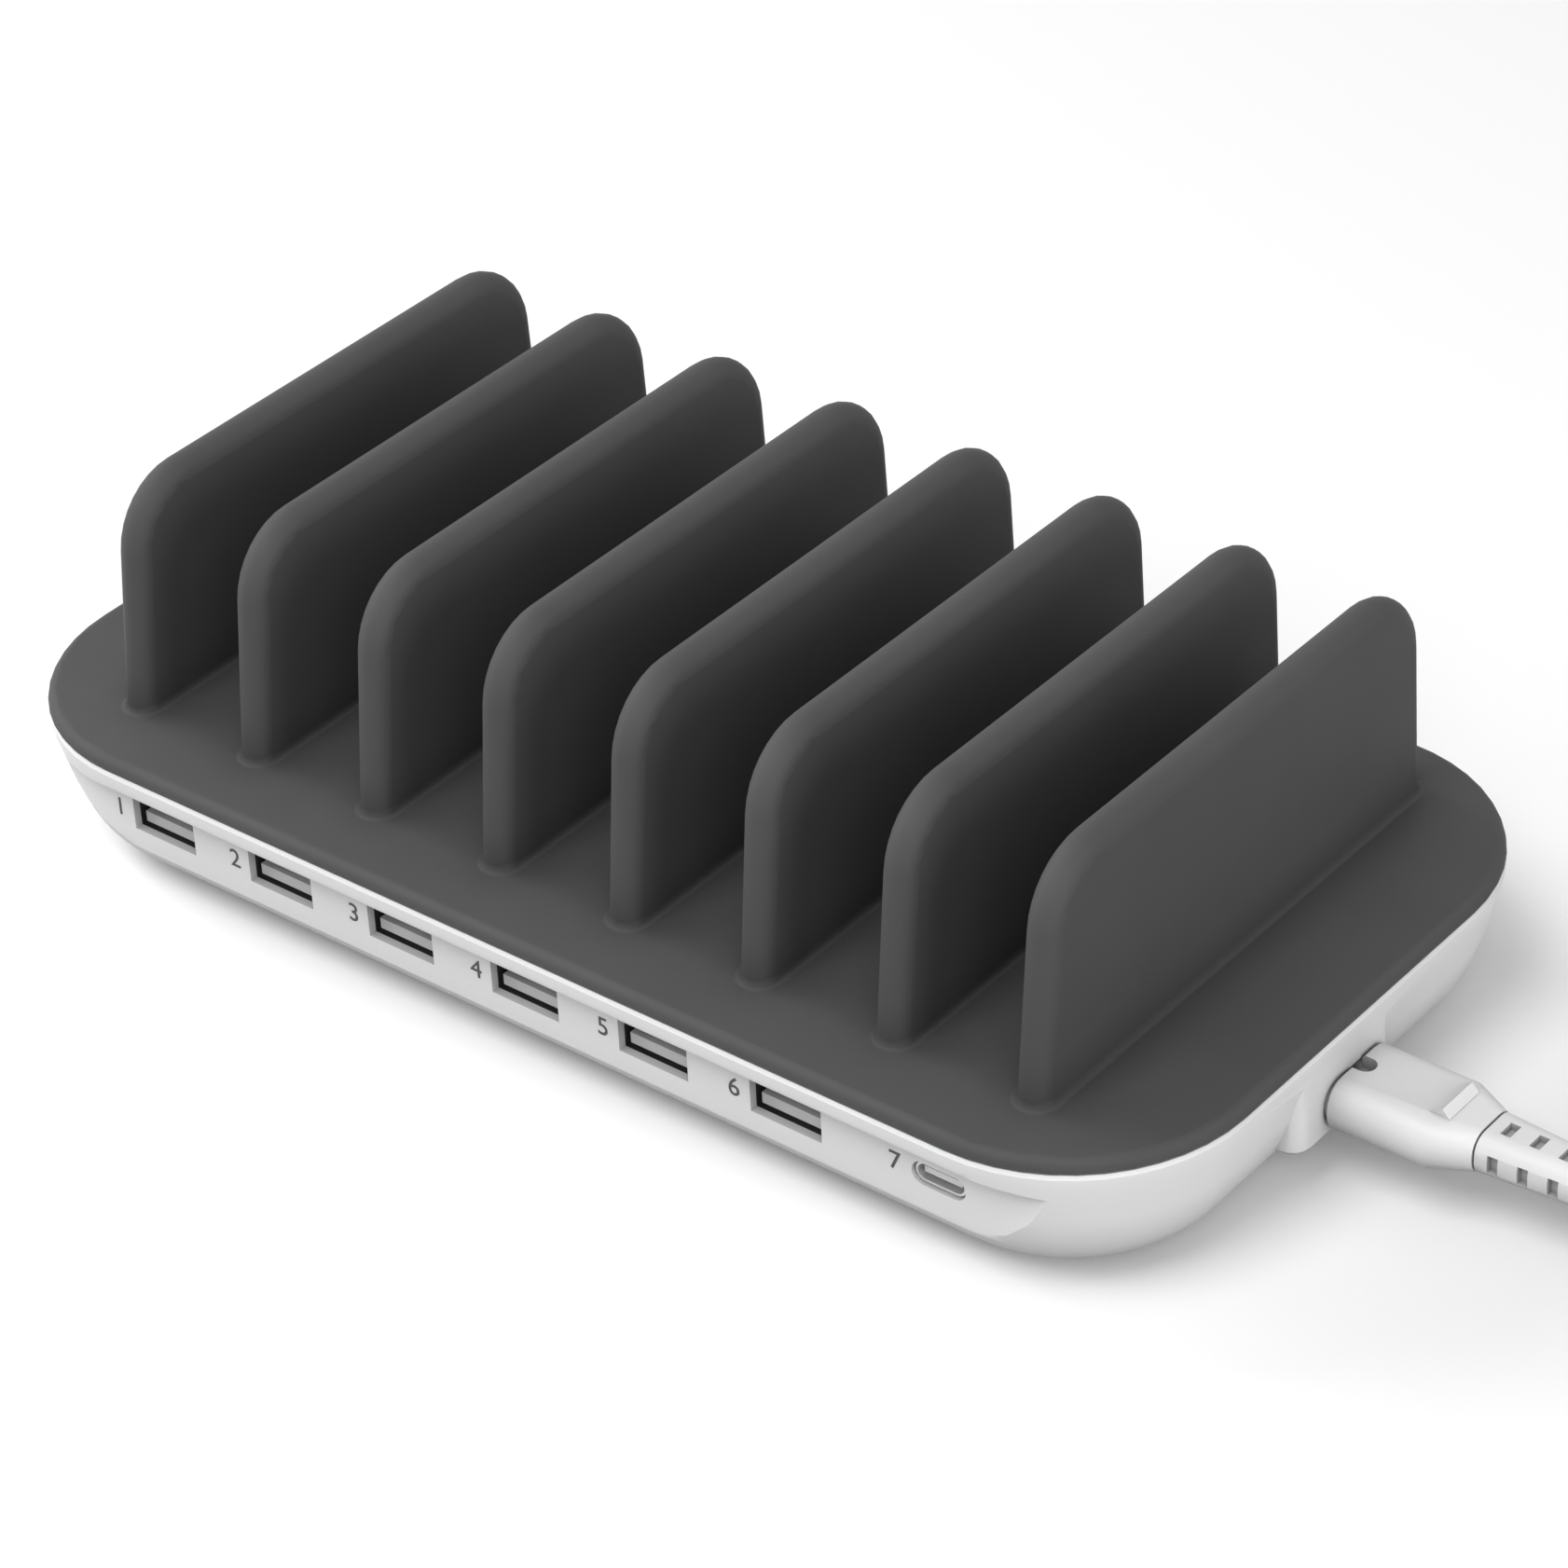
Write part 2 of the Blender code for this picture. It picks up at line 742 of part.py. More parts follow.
def deck_skirt():
    """The lip that locates the deck inside the shell's wall."""
    outer = SHELL_WALL + SKIRT_CLEARANCE
    low = PARTING_HEIGHT - SKIRT_DROP
    high = PARTING_HEIGHT + DECK_RISE / 2
    bm = bmesh.new()
    add_loft(bm, [case_ring(outer, z, FACE_INSIDE - GAP) for z in (low, high)])
    return mesh_object("deck_skirt", bm)


def skirt_hollow():
    inner = SHELL_WALL + SKIRT_CLEARANCE + SKIRT_WALL
    low = PARTING_HEIGHT - SKIRT_DROP - OVERRUN
    bm = bmesh.new()
    add_loft(
        bm,
        [
            case_ring(inner, z, FACE_INSIDE - GAP - SKIRT_WALL)
            for z in (low, PARTING_HEIGHT)
        ],
    )
    return mesh_object("skirt_hollow", bm)


def fin_positions():
    return [FIN_PITCH * (i - (FIN_COUNT - 1) / 2) for i in range(FIN_COUNT)]


def fin_outline(offset, foot, steps=FIN_CORNER_STEPS):
    """Points (y, z) up the front edge, over the top and down the back edge.

    The outline is drawn in by an offset, and the foot is where it starts.
    """
    top = DECK_TOP + FIN_HEIGHT
    centre_z = top - FIN_CORNER
    inner = FIN_CORNER - offset
    points = []
    for side, end_y, draft in (
        (-1, FIN_FRONT, FIN_DRAFT_share),
        (1, FIN_BACK, FIN_BACK_DRAFT_share),
    ):
        lean = math.atan(draft)
        drop = FIN_CORNER * (1 - math.sin(lean)) / math.cos(lean)
        corner_y = end_y - side * (draft * (top - DECK_TOP) + drop)
        foot_y = end_y - side * (draft * (foot - DECK_TOP) + offset / math.cos(lean))
        half = [(foot_y, foot)]
        for step in range(steps + 1):
            turn = lean + (math.pi / 2 - lean) * step / steps
            half.append(
                (
                    corner_y + side * inner * math.cos(turn),
                    centre_z + inner * math.sin(turn),
                )
            )
        points += half if side < 0 else half[::-1]
    return points


def add_fin(bm, x, foot):
    """One fin: the outline swept round a half circle, which makes its round edge."""
    radius = FIN_THICKNESS / 2
    rings = []
    for step in range(FIN_EDGE_STEPS + 1):
        turn = math.pi * step / FIN_EDGE_STEPS
        offset = radius * (1 - math.sin(turn))
        side = x - radius * math.cos(turn)
        rings.append([(side, y, z) for y, z in fin_outline(offset, foot)])
    add_loft(bm, rings)


def deck_fins():
    bm = bmesh.new()
    for x in fin_positions():
        add_fin(bm, x, PARTING_HEIGHT + DECK_RISE / 2)
    return mesh_object("deck_fins", bm)


def add_fin_fillet(bm, x):
    """The cove round a fin's foot, sunk a little into the deck and the fin."""
    sink = FIN_THICKNESS / 2 - FIN_WALL
    rings = []
    for step in range(FIN_FILLET_STEPS + 1):
        turn = math.radians(90) * step / FIN_FILLET_STEPS
        spread = FIN_FILLET * (1 - math.sin(turn))
        rise = FIN_FILLET * (1 - math.cos(turn))
        front = FIN_FRONT + FIN_DRAFT_share * rise
        back = FIN_BACK - FIN_BACK_DRAFT_share * rise
        middle = (front + back) / 2
        length = back - front
        ring = oblong_ring(length + spread * 2, FIN_THICKNESS + spread * 2, FIN_EDGE_STEPS)
        rings.append([(x + b, middle + a, DECK_TOP + rise) for a, b in ring])
    base = [(px, py, DECK_TOP - DECK_RISE / 2) for px, py, _ in rings[0]]
    inner = oblong_ring(length - sink, FIN_THICKNESS - sink, FIN_EDGE_STEPS)
    cap = [(x + b, middle + a, DECK_TOP + FIN_FILLET) for a, b in inner]
    add_loft(bm, [base, *rings, cap])


def fin_fillets():
    bm = bmesh.new()
    for x in fin_positions():
        add_fin_fillet(bm, x)
    return mesh_object("fin_fillets", bm)


def fin_hollows():
    """Cores that leave each fin a wall thick, open under the deck."""
    half = FIN_THICKNESS / 2 - FIN_WALL
    foot = PARTING_HEIGHT - OVERRUN
    roof = DECK_TOP + FIN_HEIGHT - FIN_ROOF
    inset = FIN_ROOF
    ramp = FIN_CORNER / 2
    front = FIN_FRONT + inset
    back = FIN_BACK - inset
    high_front = front + FIN_DRAFT_share * (roof - DECK_TOP)
    high_back = back - FIN_BACK_DRAFT_share * (roof - DECK_TOP)
    profile = (
        (front, foot),
        (high_front, roof - ramp),
        (high_front + ramp, roof),
        (high_back - ramp, roof),
        (high_back, roof - ramp),
        (back, foot),
    )
    bm = bmesh.new()
    for x in fin_positions():
        add_loft(bm, [[(x + side, y, z) for y, z in profile] for side in (-half, half)])
    return mesh_object("fin_hollows", bm)


def deck_posts():
    low = COLUMN_TOP + GAP
    high = PARTING_HEIGHT + DECK_RISE / 2
    bm = bmesh.new()
    for x, y in column_places():
        add_cylinder(bm, (x, y, (low + high) / 2), COLUMN_RADIUS, high - low)
    return mesh_object("deck_posts", bm)


def deck_bores():
    low = COLUMN_TOP - OVERRUN
    high = COLUMN_TOP + GAP + CASE_SCREW_GRIP + GAP
    bm = bmesh.new()
    for x, y in column_places():
        add_cylinder(
            bm, (x, y, (low + high) / 2), CASE_SCREW_RADIUS + GAP, high - low, segments=12
        )
    return mesh_object("deck_bores", bm)


def make_deck():
    deck = deck_plate()
    combine(deck, deck_skirt(), "UNION")
    combine(deck, skirt_hollow())
    combine(deck, deck_fins(), "UNION")
    combine(deck, fin_fillets(), "UNION")
    combine(deck, deck_posts(), "UNION")
    combine(deck, fin_hollows())
    combine(deck, deck_bores())
    smooth(deck)


# Front sockets


def make_can(index, x):
    """A folded steel can, open towards the wall, and the tongue in it."""
    low = (x - CAN_WIDTH / 2, CAN_FRONT, PORT_HEIGHT - CAN_HEIGHT / 2)
    high = (x + CAN_WIDTH / 2, CAN_FRONT + CAN_DEPTH, PORT_HEIGHT + CAN_HEIGHT / 2)
    can = box_part(f"usb_a_can_{index}", low, high, STEEL)
    bm = bmesh.new()
    add_span(
        bm,
        (low[0] + CAN_WALL, low[1] - OVERRUN, low[2] + CAN_WALL),
        (high[0] - CAN_WALL, high[1] - CAN_WALL, high[2] - CAN_WALL),
    )
    combine(can, mesh_object(f"usb_a_hollow_{index}", bm))
    make_tongue(index, x, high)


def make_tongue(index, x, can_high):
    """The contact tongue, low in the can, on a root that fills the can's back."""
    back = can_high[1] - CAN_WALL - GAP
    root = back - TONGUE_ROOT
    half = CAN_WIDTH / 2 - CAN_WALL - TONGUE_SIDE
    floor = PORT_HEIGHT - CAN_HEIGHT / 2 + CAN_WALL
    low = floor + TONGUE_LIFT
    tongue = box_part(
        f"usb_a_tongue_{index}",
        (x - TONGUE_WIDTH / 2, CAN_FRONT + TONGUE_SETBACK, low),
        (x + TONGUE_WIDTH / 2, root + TONGUE_ROOT / 2, low + TONGUE_THICKNESS),
        TONGUE_PLASTIC,
    )
    bm = bmesh.new()
    add_span(bm, (x - half, root, floor + GAP), (x + half, back, can_high[2] - CAN_WALL - GAP))
    combine(tongue, mesh_object(f"usb_a_root_{index}", bm), "UNION")


def make_usb_c():
    """The small socket: a round-ended can, its tongue and the riser under it."""
    middle = usb_c_position()
    front = -FACE_OFFSET + USBC_RECESS
    back = front + USBC_DEPTH

    def sleeve(inset, low, high):
        ring = oblong_ring(USBC_WIDTH - inset * 2, USBC_HEIGHT - inset * 2)
        bm = bmesh.new()
        add_loft(bm, [[(middle + x, y, PORT_HEIGHT + z) for x, z in ring] for y in (low, high)])
        return bm

    inner_end = back - USBC_WALL
    can = mesh_object("usb_c_can", sleeve(0.0, front, back), STEEL)
    combine(can, mesh_object("usb_c_hollow", sleeve(USBC_WALL, front - OVERRUN, inner_end)))
    smooth(can)
    tongue_back = inner_end - GAP
    half = USBC_TONGUE_WIDTH / 2
    thin = USBC_TONGUE_THICKNESS / 2
    tongue = box_part(
        "usb_c_tongue",
        (middle - half, front + USBC_TONGUE_SETBACK, PORT_HEIGHT - thin),
        (middle + half, tongue_back - USBC_ROOT / 2, PORT_HEIGHT + thin),
        TONGUE_PLASTIC,
    )
    root = sleeve(USBC_WALL + GAP, tongue_back - USBC_ROOT, tongue_back)
    combine(tongue, mesh_object("usb_c_root", root), "UNION")
    box_part(
        "usb_c_riser",
        (middle - half, CAN_FRONT, BOARD_TOP + GAP),
        (middle + half, back, PORT_HEIGHT - USBC_HEIGHT / 2 - GAP),
        BLACK_PLASTIC,
    )


def wall_inset(height):
    """How far the shell's inner wall stands in from the case's outline at a height."""
    depth = (SHELL_TOP - height) / (SHELL_DEPTH - SHELL_FLOOR)
    for (above, tuck), (below, more) in zip(SHELL_SIDE_shares, SHELL_SIDE_shares[1:]):
        if above <= depth <= below:
            tuck += (more - tuck) * (depth - above) / (below - above)
            break
    return SHELL_WALL + SHELL_TUCK * tuck


def board_front():
    wall = wall_inset(BOARD_BOTTOM) + BOARD_WALL_SPACE - CASE_WIDTH / 2
    return max(CAN_FRONT + GAP, wall)


def make_board():
    board = box_part(
        "main_board",
        (-BOARD_HALF_LENGTH, board_front(), BOARD_BOTTOM),
        (BOARD_HALF_LENGTH, BOARD_BACK, BOARD_TOP),
        BOARD_GREEN,
    )
    bm = bmesh.new()
    for x, y in board_post_places():
        add_cylinder(
            bm,
            (x, y, BOARD_BOTTOM),
            BOARD_SCREW_RADIUS + GAP,
            (BOARD_THICKNESS + OVERRUN) * 2,
            segments=12,
        )
    combine(board, mesh_object("board_holes", bm))


def make_screw(name, place, head_low, head_radius, head, shank_radius, grip, up):
    """A pan-head screw whose shank points up or down from its head."""
    x, y = place
    bm = bmesh.new()
    add_cylinder(bm, (x, y, head_low + head / 2), head_radius, head, segments=16)
    screw = mesh_object(name, bm, STEEL)
    overlap = head / 2
    low = head_low + overlap if up else head_low - grip
    high = head_low + head + grip if up else head_low + overlap
    bm = bmesh.new()
    add_cylinder(bm, (x, y, (low + high) / 2), shank_radius, high - low, segments=12)
    combine(screw, mesh_object(f"{name}_shank", bm), "UNION")
    smooth(screw)


def make_screws():
    head_low = SHELL_BOTTOM + CASE_SCREW_SINK - GAP - CASE_SCREW_HEAD
    reach = COLUMN_TOP + CASE_SCREW_GRIP - head_low - CASE_SCREW_HEAD
    for index, place in enumerate(column_places(), 1):
        make_screw(
            f"case_screw_{index}",
            place,
            head_low,
            CASE_SCREW_HEAD_RADIUS,
            CASE_SCREW_HEAD,
            CASE_SCREW_RADIUS,
            reach,
            True,
        )
    for index, place in enumerate(board_post_places(), 1):
        make_screw(
            f"board_screw_{index}",
            place,
            BOARD_TOP + GAP,
            BOARD_SCREW_HEAD_RADIUS,
            BOARD_SCREW_HEAD,
            BOARD_SCREW_RADIUS,
            BOARD_SCREW_GRIP,
            False,
        )


def make_feet():
    for index, (x, y) in enumerate(foot_places(), 1):
        height = SHELL_BOTTOM + FOOT_POCKET - GAP
        bm = bmesh.new()
        add_cylinder(bm, (x, y, height / 2), FOOT_RADIUS, height)
        foot = mesh_object(f"foot_{index}", bm, RUBBER)
        bevel(foot, FOOT_EDGE, 1)
        smooth(foot)


def make_transformer():
    """A ferrite core with two windows, and the winding round its middle leg."""
    x = BOARD_HALF_LENGTH * CORE_PLACE_share
    y = BOARD_BACK - CORE_SETBACK
    length, width, height = CORE_SIZE
    middle = STAGE_BASE + WINDING_HEIGHT / 2
    core = box_part(
        "transformer_core",
        (x - length / 2, y - width / 2, middle - height / 2),
        (x + length / 2, y + width / 2, middle + height / 2),
        FERRITE,
    )
    window = (length - CORE_LEG) / 2 - CORE_LIMB
    bm = bmesh.new()
    for side in (-1, 1):
        add_box(
            bm,
            (x + side * (CORE_LEG + window) / 2, y, middle),
            (window, CORE_WINDOW_DEPTH, height + OVERRUN * 2),
        )
    combine(core, mesh_object("core_windows", bm))
    half = (CORE_LEG / 2 + window - GAP, CORE_WINDOW_DEPTH / 2 - GAP, WINDING_HEIGHT / 2)
    winding = box_part(
        "transformer_winding",
        (x - half[0], y - half[1], middle - half[2]),
        (x + half[0], y + half[1], middle + half[2]),
        TAPE_YELLOW,
    )
    bm = bmesh.new()
    add_box(
        bm,
        (x, y, middle),
        (CORE_LEG + GAP * 2, CORE_WINDOW_DEPTH * 2, height + GAP * 2),
    )
    combine(winding, mesh_object("winding_bore", bm))


def make_capacitors():
    """Bulk capacitors that lie along X, and upright ones for the output."""
    x = BOARD_HALF_LENGTH * BULK_PLACE_share
    for index in range(BULK_COUNT):
        y = BOARD_BACK - BULK_SETBACK - (BULK_RADIUS * 2 + BULK_SPACE) * index
        bm = bmesh.new()
        add_cylinder(bm, (x, y, STAGE_BASE + BULK_RADIUS), BULK_RADIUS, BULK_LENGTH, "X")
        can = mesh_object(f"bulk_capacitor_{index + 1}", bm, CAN_BLACK)
        bevel(can, VENT_GROOVE, 1)
        smooth(can)
    x = BOARD_HALF_LENGTH * OUTPUT_PLACE_share
    for index in range(OUTPUT_COUNT):
        y = BOARD_BACK - OUTPUT_SETBACK - (OUTPUT_RADIUS * 2 + OUTPUT_SPACE) * index
        middle = STAGE_BASE + OUTPUT_HEIGHT / 2
        bm = bmesh.new()
        add_cylinder(bm, (x, y, middle), OUTPUT_RADIUS, OUTPUT_HEIGHT, segments=16)
        can = mesh_object(f"output_capacitor_{index + 1}", bm, CAN_BLACK)
        bevel(can, VENT_GROOVE, 1)
        smooth(can)


def turned(name, profile, place, material, steps=20):
    """A solid turned round Z from (radius, height) points, top to bottom."""
    bm = bmesh.new()
    points = [bm.verts.new((radius, 0, height)) for radius, height in profile]
    for a, b in zip(points, points[1:]):
        bm.edges.new((a, b))
    obj = mesh_object(name, bm, material)
    obj.location = place
    modifier = obj.modifiers.new("Screw", "SCREW")
    modifier.steps = steps
    modifier.render_steps = steps
    modifier.use_merge_vertices = True
    modifier.merge_threshold = MERGE_DISTANCE
    return obj


def make_choke():
    x = BOARD_HALF_LENGTH * CHOKE_PLACE_share
    y = BOARD_BACK - CHOKE_SETBACK
    top = CHOKE_HEIGHT
    profile = (
        (0, top),
        (CHOKE_RADIUS, top),
        (CHOKE_RADIUS, top - CHOKE_FLANGE),
        (CHOKE_WAIST, top - CHOKE_FLANGE),
        (CHOKE_WAIST, CHOKE_FLANGE),
        (CHOKE_RADIUS, CHOKE_FLANGE),
        (CHOKE_RADIUS, 0),
        (0, 0),
    )
    turned("output_choke", profile, (x, y, STAGE_BASE), FERRITE)


def make_heat_sink():
    x = BOARD_HALF_LENGTH * SINK_PLACE_share
    y = BOARD_BACK - SINK_SETBACK
    low = (x - SINK_LENGTH / 2, y, STAGE_BASE)
    high = (x + SINK_LENGTH / 2, y + SINK_WALL, STAGE_BASE + SINK_HEIGHT)
    sink = box_part("heat_sink", low, high, ALUMINIUM)
    bm = bmesh.new()
    step = (SINK_LENGTH - SINK_WALL) / (SINK_FINS - 1)
    for i in range(SINK_FINS):
        left = low[0] + step * i
        add_span(
            bm,
            (left, y + SINK_WALL / 2, STAGE_BASE),
            (left + SINK_WALL, y + SINK_WALL + SINK_FIN_DEPTH, high[2]),
        )
    combine(sink, mesh_object("sink_fins", bm), "UNION")


def make_fuse():
    """A glass fuse: a waist between two end caps, lying along X."""
    x = BOARD_HALF_LENGTH * FUSE_PLACE_share
    y = BOARD_BACK - FUSE_SETBACK
    half = FUSE_LENGTH / 2
    inner = half - FUSE_CAP
    profile = (
        (0, half),
        (FUSE_RADIUS, half),
        (FUSE_RADIUS, inner),
        (FUSE_WAIST, inner),
        (FUSE_WAIST, -inner),
        (FUSE_RADIUS, -inner),
        (FUSE_RADIUS, -half),
        (0, -half),
    )
    place = (x, y, STAGE_BASE + FUSE_RADIUS)
    fuse = turned("line_fuse", profile, place, STEEL, 16)
    fuse.rotation_euler = (0, math.radians(90), 0)


# Mains inlet


def eight_union(obj, name, x_low, x_high, diameter, operation):
    """Two round bores and the web between them, the inlet's figure of eight."""
    middle = (x_low + x_high) / 2
    length = x_high - x_low
    for index, side in enumerate((-1, 1), 1):
        bm = bmesh.new()
        centre = (middle, INLET_Y + side * CONTACT_SPREAD / 2, INLET_HEIGHT)
        add_cylinder(bm, centre, diameter / 2, length, "X", 24)
        combine(obj, mesh_object(f"{name}_lobe_{index}", bm), operation)
    bm = bmesh.new()
    web = diameter / 2
    add_box(bm, (middle, INLET_Y, INLET_HEIGHT), (length, CONTACT_SPREAD, web))
    combine(obj, mesh_object(f"{name}_web", bm), operation)


def make_inlet():
    half_width = INLET_BODY_WIDTH / 2
    half_height = INLET_BODY_HEIGHT / 2
    inlet = box_part(
        "inlet_socket",
        (INLET_BACK, INLET_Y - half_width, INLET_HEIGHT - half_height),
        (INLET_FRONT, INLET_Y + half_width, INLET_HEIGHT + half_height),
        BLACK_PLASTIC,
    )
    cavity_end = CONNECTOR_START - NOSE_REACH - NOSE_CLEARANCE
    eight_union(
        inlet,
        "inlet_cavity",
        cavity_end,
        INLET_FRONT + OVERRUN,
        NOSE_DIAMETER + NOSE_CLEARANCE * 2,
        "DIFFERENCE",
    )
    bm = bmesh.new()
    for side in (-1, 1):
        centre = (
            (INLET_BACK + cavity_end) / 2,
            INLET_Y + side * CONTACT_SPREAD / 2,
            INLET_HEIGHT,
        )
        length = cavity_end - INLET_BACK + OVERRUN * 2
        add_cylinder(bm, centre, PIN_RADIUS + PIN_BORE_CLEARANCE, length, "X", 16)
    combine(inlet, mesh_object("inlet_bores", bm))
    pin_low = INLET_BACK - PIN_TAIL
    pin_high = cavity_end + PIN_REACH
    for index, side in enumerate((-1, 1), 1):
        bm = bmesh.new()
        centre = (
            (pin_low + pin_high) / 2,
            INLET_Y + side * CONTACT_SPREAD / 2,
            INLET_HEIGHT,
        )
        add_cylinder(bm, centre, PIN_RADIUS, pin_high - pin_low, "X", 12)
        pin = mesh_object(f"inlet_pin_{index}", bm, STEEL)
        smooth(pin)


def section_ring(x, width, height, edge):
    """A rounded section across the lead's axis at x."""
    plan = rounded_plan(width / 2, -height / 2, height / 2, edge, PLUG_EDGE_STEPS)
    return [(x, INLET_Y + a, INLET_HEIGHT + b) for a, b in plan]


def make_connector():
    straight_end = CONNECTOR_START + PLUG_STRAIGHT
    lip = PLUG_BODY_EDGE * PLUG_LIP_share
    neck_edge = PLUG_BODY_EDGE * PLUG_NECK_HEIGHT / PLUG_BODY_HEIGHT
    middle_width = (PLUG_BODY_WIDTH + PLUG_NECK_WIDTH) / 2
    middle_height = (PLUG_BODY_HEIGHT + PLUG_NECK_HEIGHT) / 2
    bm = bmesh.new()
    add_loft(
        bm,
        [
            section_ring(
                CONNECTOR_START,
                PLUG_BODY_WIDTH - lip * 2,
                PLUG_BODY_HEIGHT - lip * 2,
                PLUG_BODY_EDGE - lip,
            ),
            section_ring(
                CONNECTOR_START + lip, PLUG_BODY_WIDTH, PLUG_BODY_HEIGHT, PLUG_BODY_EDGE
            ),
            section_ring(straight_end, PLUG_BODY_WIDTH, PLUG_BODY_HEIGHT, PLUG_BODY_EDGE),
            section_ring(
                straight_end + PLUG_TAPER / 2,
                middle_width,
                middle_height,
                (PLUG_BODY_EDGE + neck_edge) / 2,
            ),
            section_ring(NECK_END, PLUG_NECK_WIDTH, PLUG_NECK_HEIGHT, neck_edge),
        ],
    )
    body = mesh_object("lead_connector", bm, LEAD_WHITE)
    eight_union(
        body,
        "connector_nose",
        CONNECTOR_START - NOSE_REACH,
        CONNECTOR_START + lip * 2,
        NOSE_DIAMETER,
        "UNION",
    )
    combine(body, contact_bores())
    combine(body, thumb_notch())
    combine(body, thumb_ramp(), "UNION")
    combine(body, spigot_socket())
    smooth(body)


def contact_bores():
    """The holes in the nose that the inlet's pins go into."""
    low = CONNECTOR_START - NOSE_REACH - OVERRUN
    high = CONNECTOR_START + PIN_REACH - NOSE_REACH + NOSE_CLEARANCE + OVERRUN
    bm = bmesh.new()
    for side in (-1, 1):
        centre = ((low + high) / 2, INLET_Y + side * CONTACT_SPREAD / 2, INLET_HEIGHT)
        add_cylinder(bm, centre, PIN_RADIUS + GAP, high - low, "X", 12)
    return mesh_object("contact_bores", bm)


def thumb_notch():
    """The half-round pocket in the top, beside the mating face."""
    top = INLET_HEIGHT + PLUG_BODY_HEIGHT / 2
    low = top - NOTCH_DEPTH
    high = top + OVERRUN
    bm = bmesh.new()
    plan = oblong_ring((NOTCH_LENGTH + OVERRUN) * 2, NOTCH_RADIUS * 2, 8)
    add_loft(
        bm,
        [
            [(CONNECTOR_START - OVERRUN + x, INLET_Y + y, z) for x, y in plan]
            for z in (low, high)
        ],
    )
    return mesh_object("thumb_notch", bm)


def thumb_ramp():
    """The wedge on top where the body starts to narrow: a slow rise and a steep fall."""
    top = INLET_HEIGHT + PLUG_BODY_HEIGHT / 2
    start = CONNECTOR_START + GRIP_START
    ridge = start + GRIP_RAMP
    end = ridge + GRIP_FALL
    profile = (
        (start, top - GRIP_RISE),
        (start, top),
        (ridge, top + GRIP_RISE),
        (end, top),
        (end, top - GRIP_RISE),
    )
    bm = bmesh.new()
    add_loft(
        bm,
        [
            [(x, INLET_Y + side * GRIP_LENGTH / 2, z) for x, z in profile]
            for side in (-1, 1)
        ],
    )
    return mesh_object("thumb_ramp", bm)


def spigot_ring(x, space):
    """The section of the sleeve's spigot at x, with a space round it."""
    inset = SPIGOT_INSET - space
    return section_ring(
        x,
        RELIEF_WIDTH - inset * 2,
        RELIEF_HEIGHT - inset * 2,
        RELIEF_HEIGHT * RELIEF_EDGE_share - inset,
    )


def spigot_socket():
    """The hollow in the connector's neck that holds the sleeve's spigot."""
    low = NECK_END - SPIGOT_LENGTH
    high = NECK_END + OVERRUN
    bm = bmesh.new()
    add_loft(bm, [spigot_ring(x, GAP) for x in (low, high)])
    return mesh_object("spigot_socket", bm)


def make_strain_relief():
    """A tapering sleeve with a spigot, and slots in its four sides at each station."""
    edge = RELIEF_HEIGHT * RELIEF_EDGE_share
    end_edge = RELIEF_END * RELIEF_END_EDGE_share
    bm = bmesh.new()
    add_loft(
        bm,
        [
            spigot_ring(NECK_END - SPIGOT_LENGTH + GAP, 0.0),
            spigot_ring(RELIEF_START, 0.0),
            section_ring(RELIEF_START, RELIEF_WIDTH, RELIEF_HEIGHT, edge),
            section_ring(RELIEF_FINISH, RELIEF_END, RELIEF_END, end_edge),
        ],
    )
    relief = mesh_object("lead_strain_relief", bm, LEAD_WHITE)
    bm = bmesh.new()
    for index in range(RELIEF_SLOTS):
        along = RELIEF_SLOT_PITCH * (index + RELIEF_SLOT_START_share)
        share = along / RELIEF_LENGTH
        x = RELIEF_START + along
        half_width = (RELIEF_WIDTH + (RELIEF_END - RELIEF_WIDTH) * share) / 2
        half_height = (RELIEF_HEIGHT + (RELIEF_END - RELIEF_HEIGHT) * share) / 2
        reach = RELIEF_SLOT_DEPTH + OVERRUN
        for side in (-1, 1):
            add_box(
                bm,
                (x, INLET_Y + side * (half_width + OVERRUN - reach / 2), INLET_HEIGHT),
                (RELIEF_SLOT_WIDTH, reach, RELIEF_SLOT_LENGTH),
            )
            add_box(
                bm,
                (x, INLET_Y, INLET_HEIGHT + side * (half_height + OVERRUN - reach / 2)),
                (RELIEF_SLOT_WIDTH, RELIEF_SLOT_LENGTH, reach),
            )
    combine(relief, mesh_object("relief_slots", bm))
    smooth(relief)


def tube(name, points, material, resolution):
    """A closed tube along the points."""
    curve = bpy.data.curves.new(name, "CURVE")
    curve.dimensions = "3D"
    curve.bevel_depth = CORD_RADIUS
    curve.bevel_resolution = resolution
    curve.use_fill_caps = True
    spline = curve.splines.new("POLY")
    spline.points.add(len(points) - 1)
    for target, point in zip(spline.points, points):
        target.co = (*point, 1.0)
    curve.materials.append(material)
    obj = bpy.data.objects.new(name, curve)
    PARTS.objects.link(obj)
    obj.parent = STATION
    return obj


def smooth_route(start, start_way, end, end_way, count):
    """Points along a curve that leaves and arrives in the given directions."""
    start, start_way = Vector(start), Vector(start_way)
    end, end_way = Vector(end), Vector(end_way)
    points = []
    for i in range(count + 1):
        t = i / count
        points.append(
            start * (2 * t**3 - 3 * t**2 + 1)
            + start_way * (t**3 - 2 * t**2 + t)
            + end * (3 * t**2 - 2 * t**3)
            + end_way * (t**3 - t**2)
        )
    return points


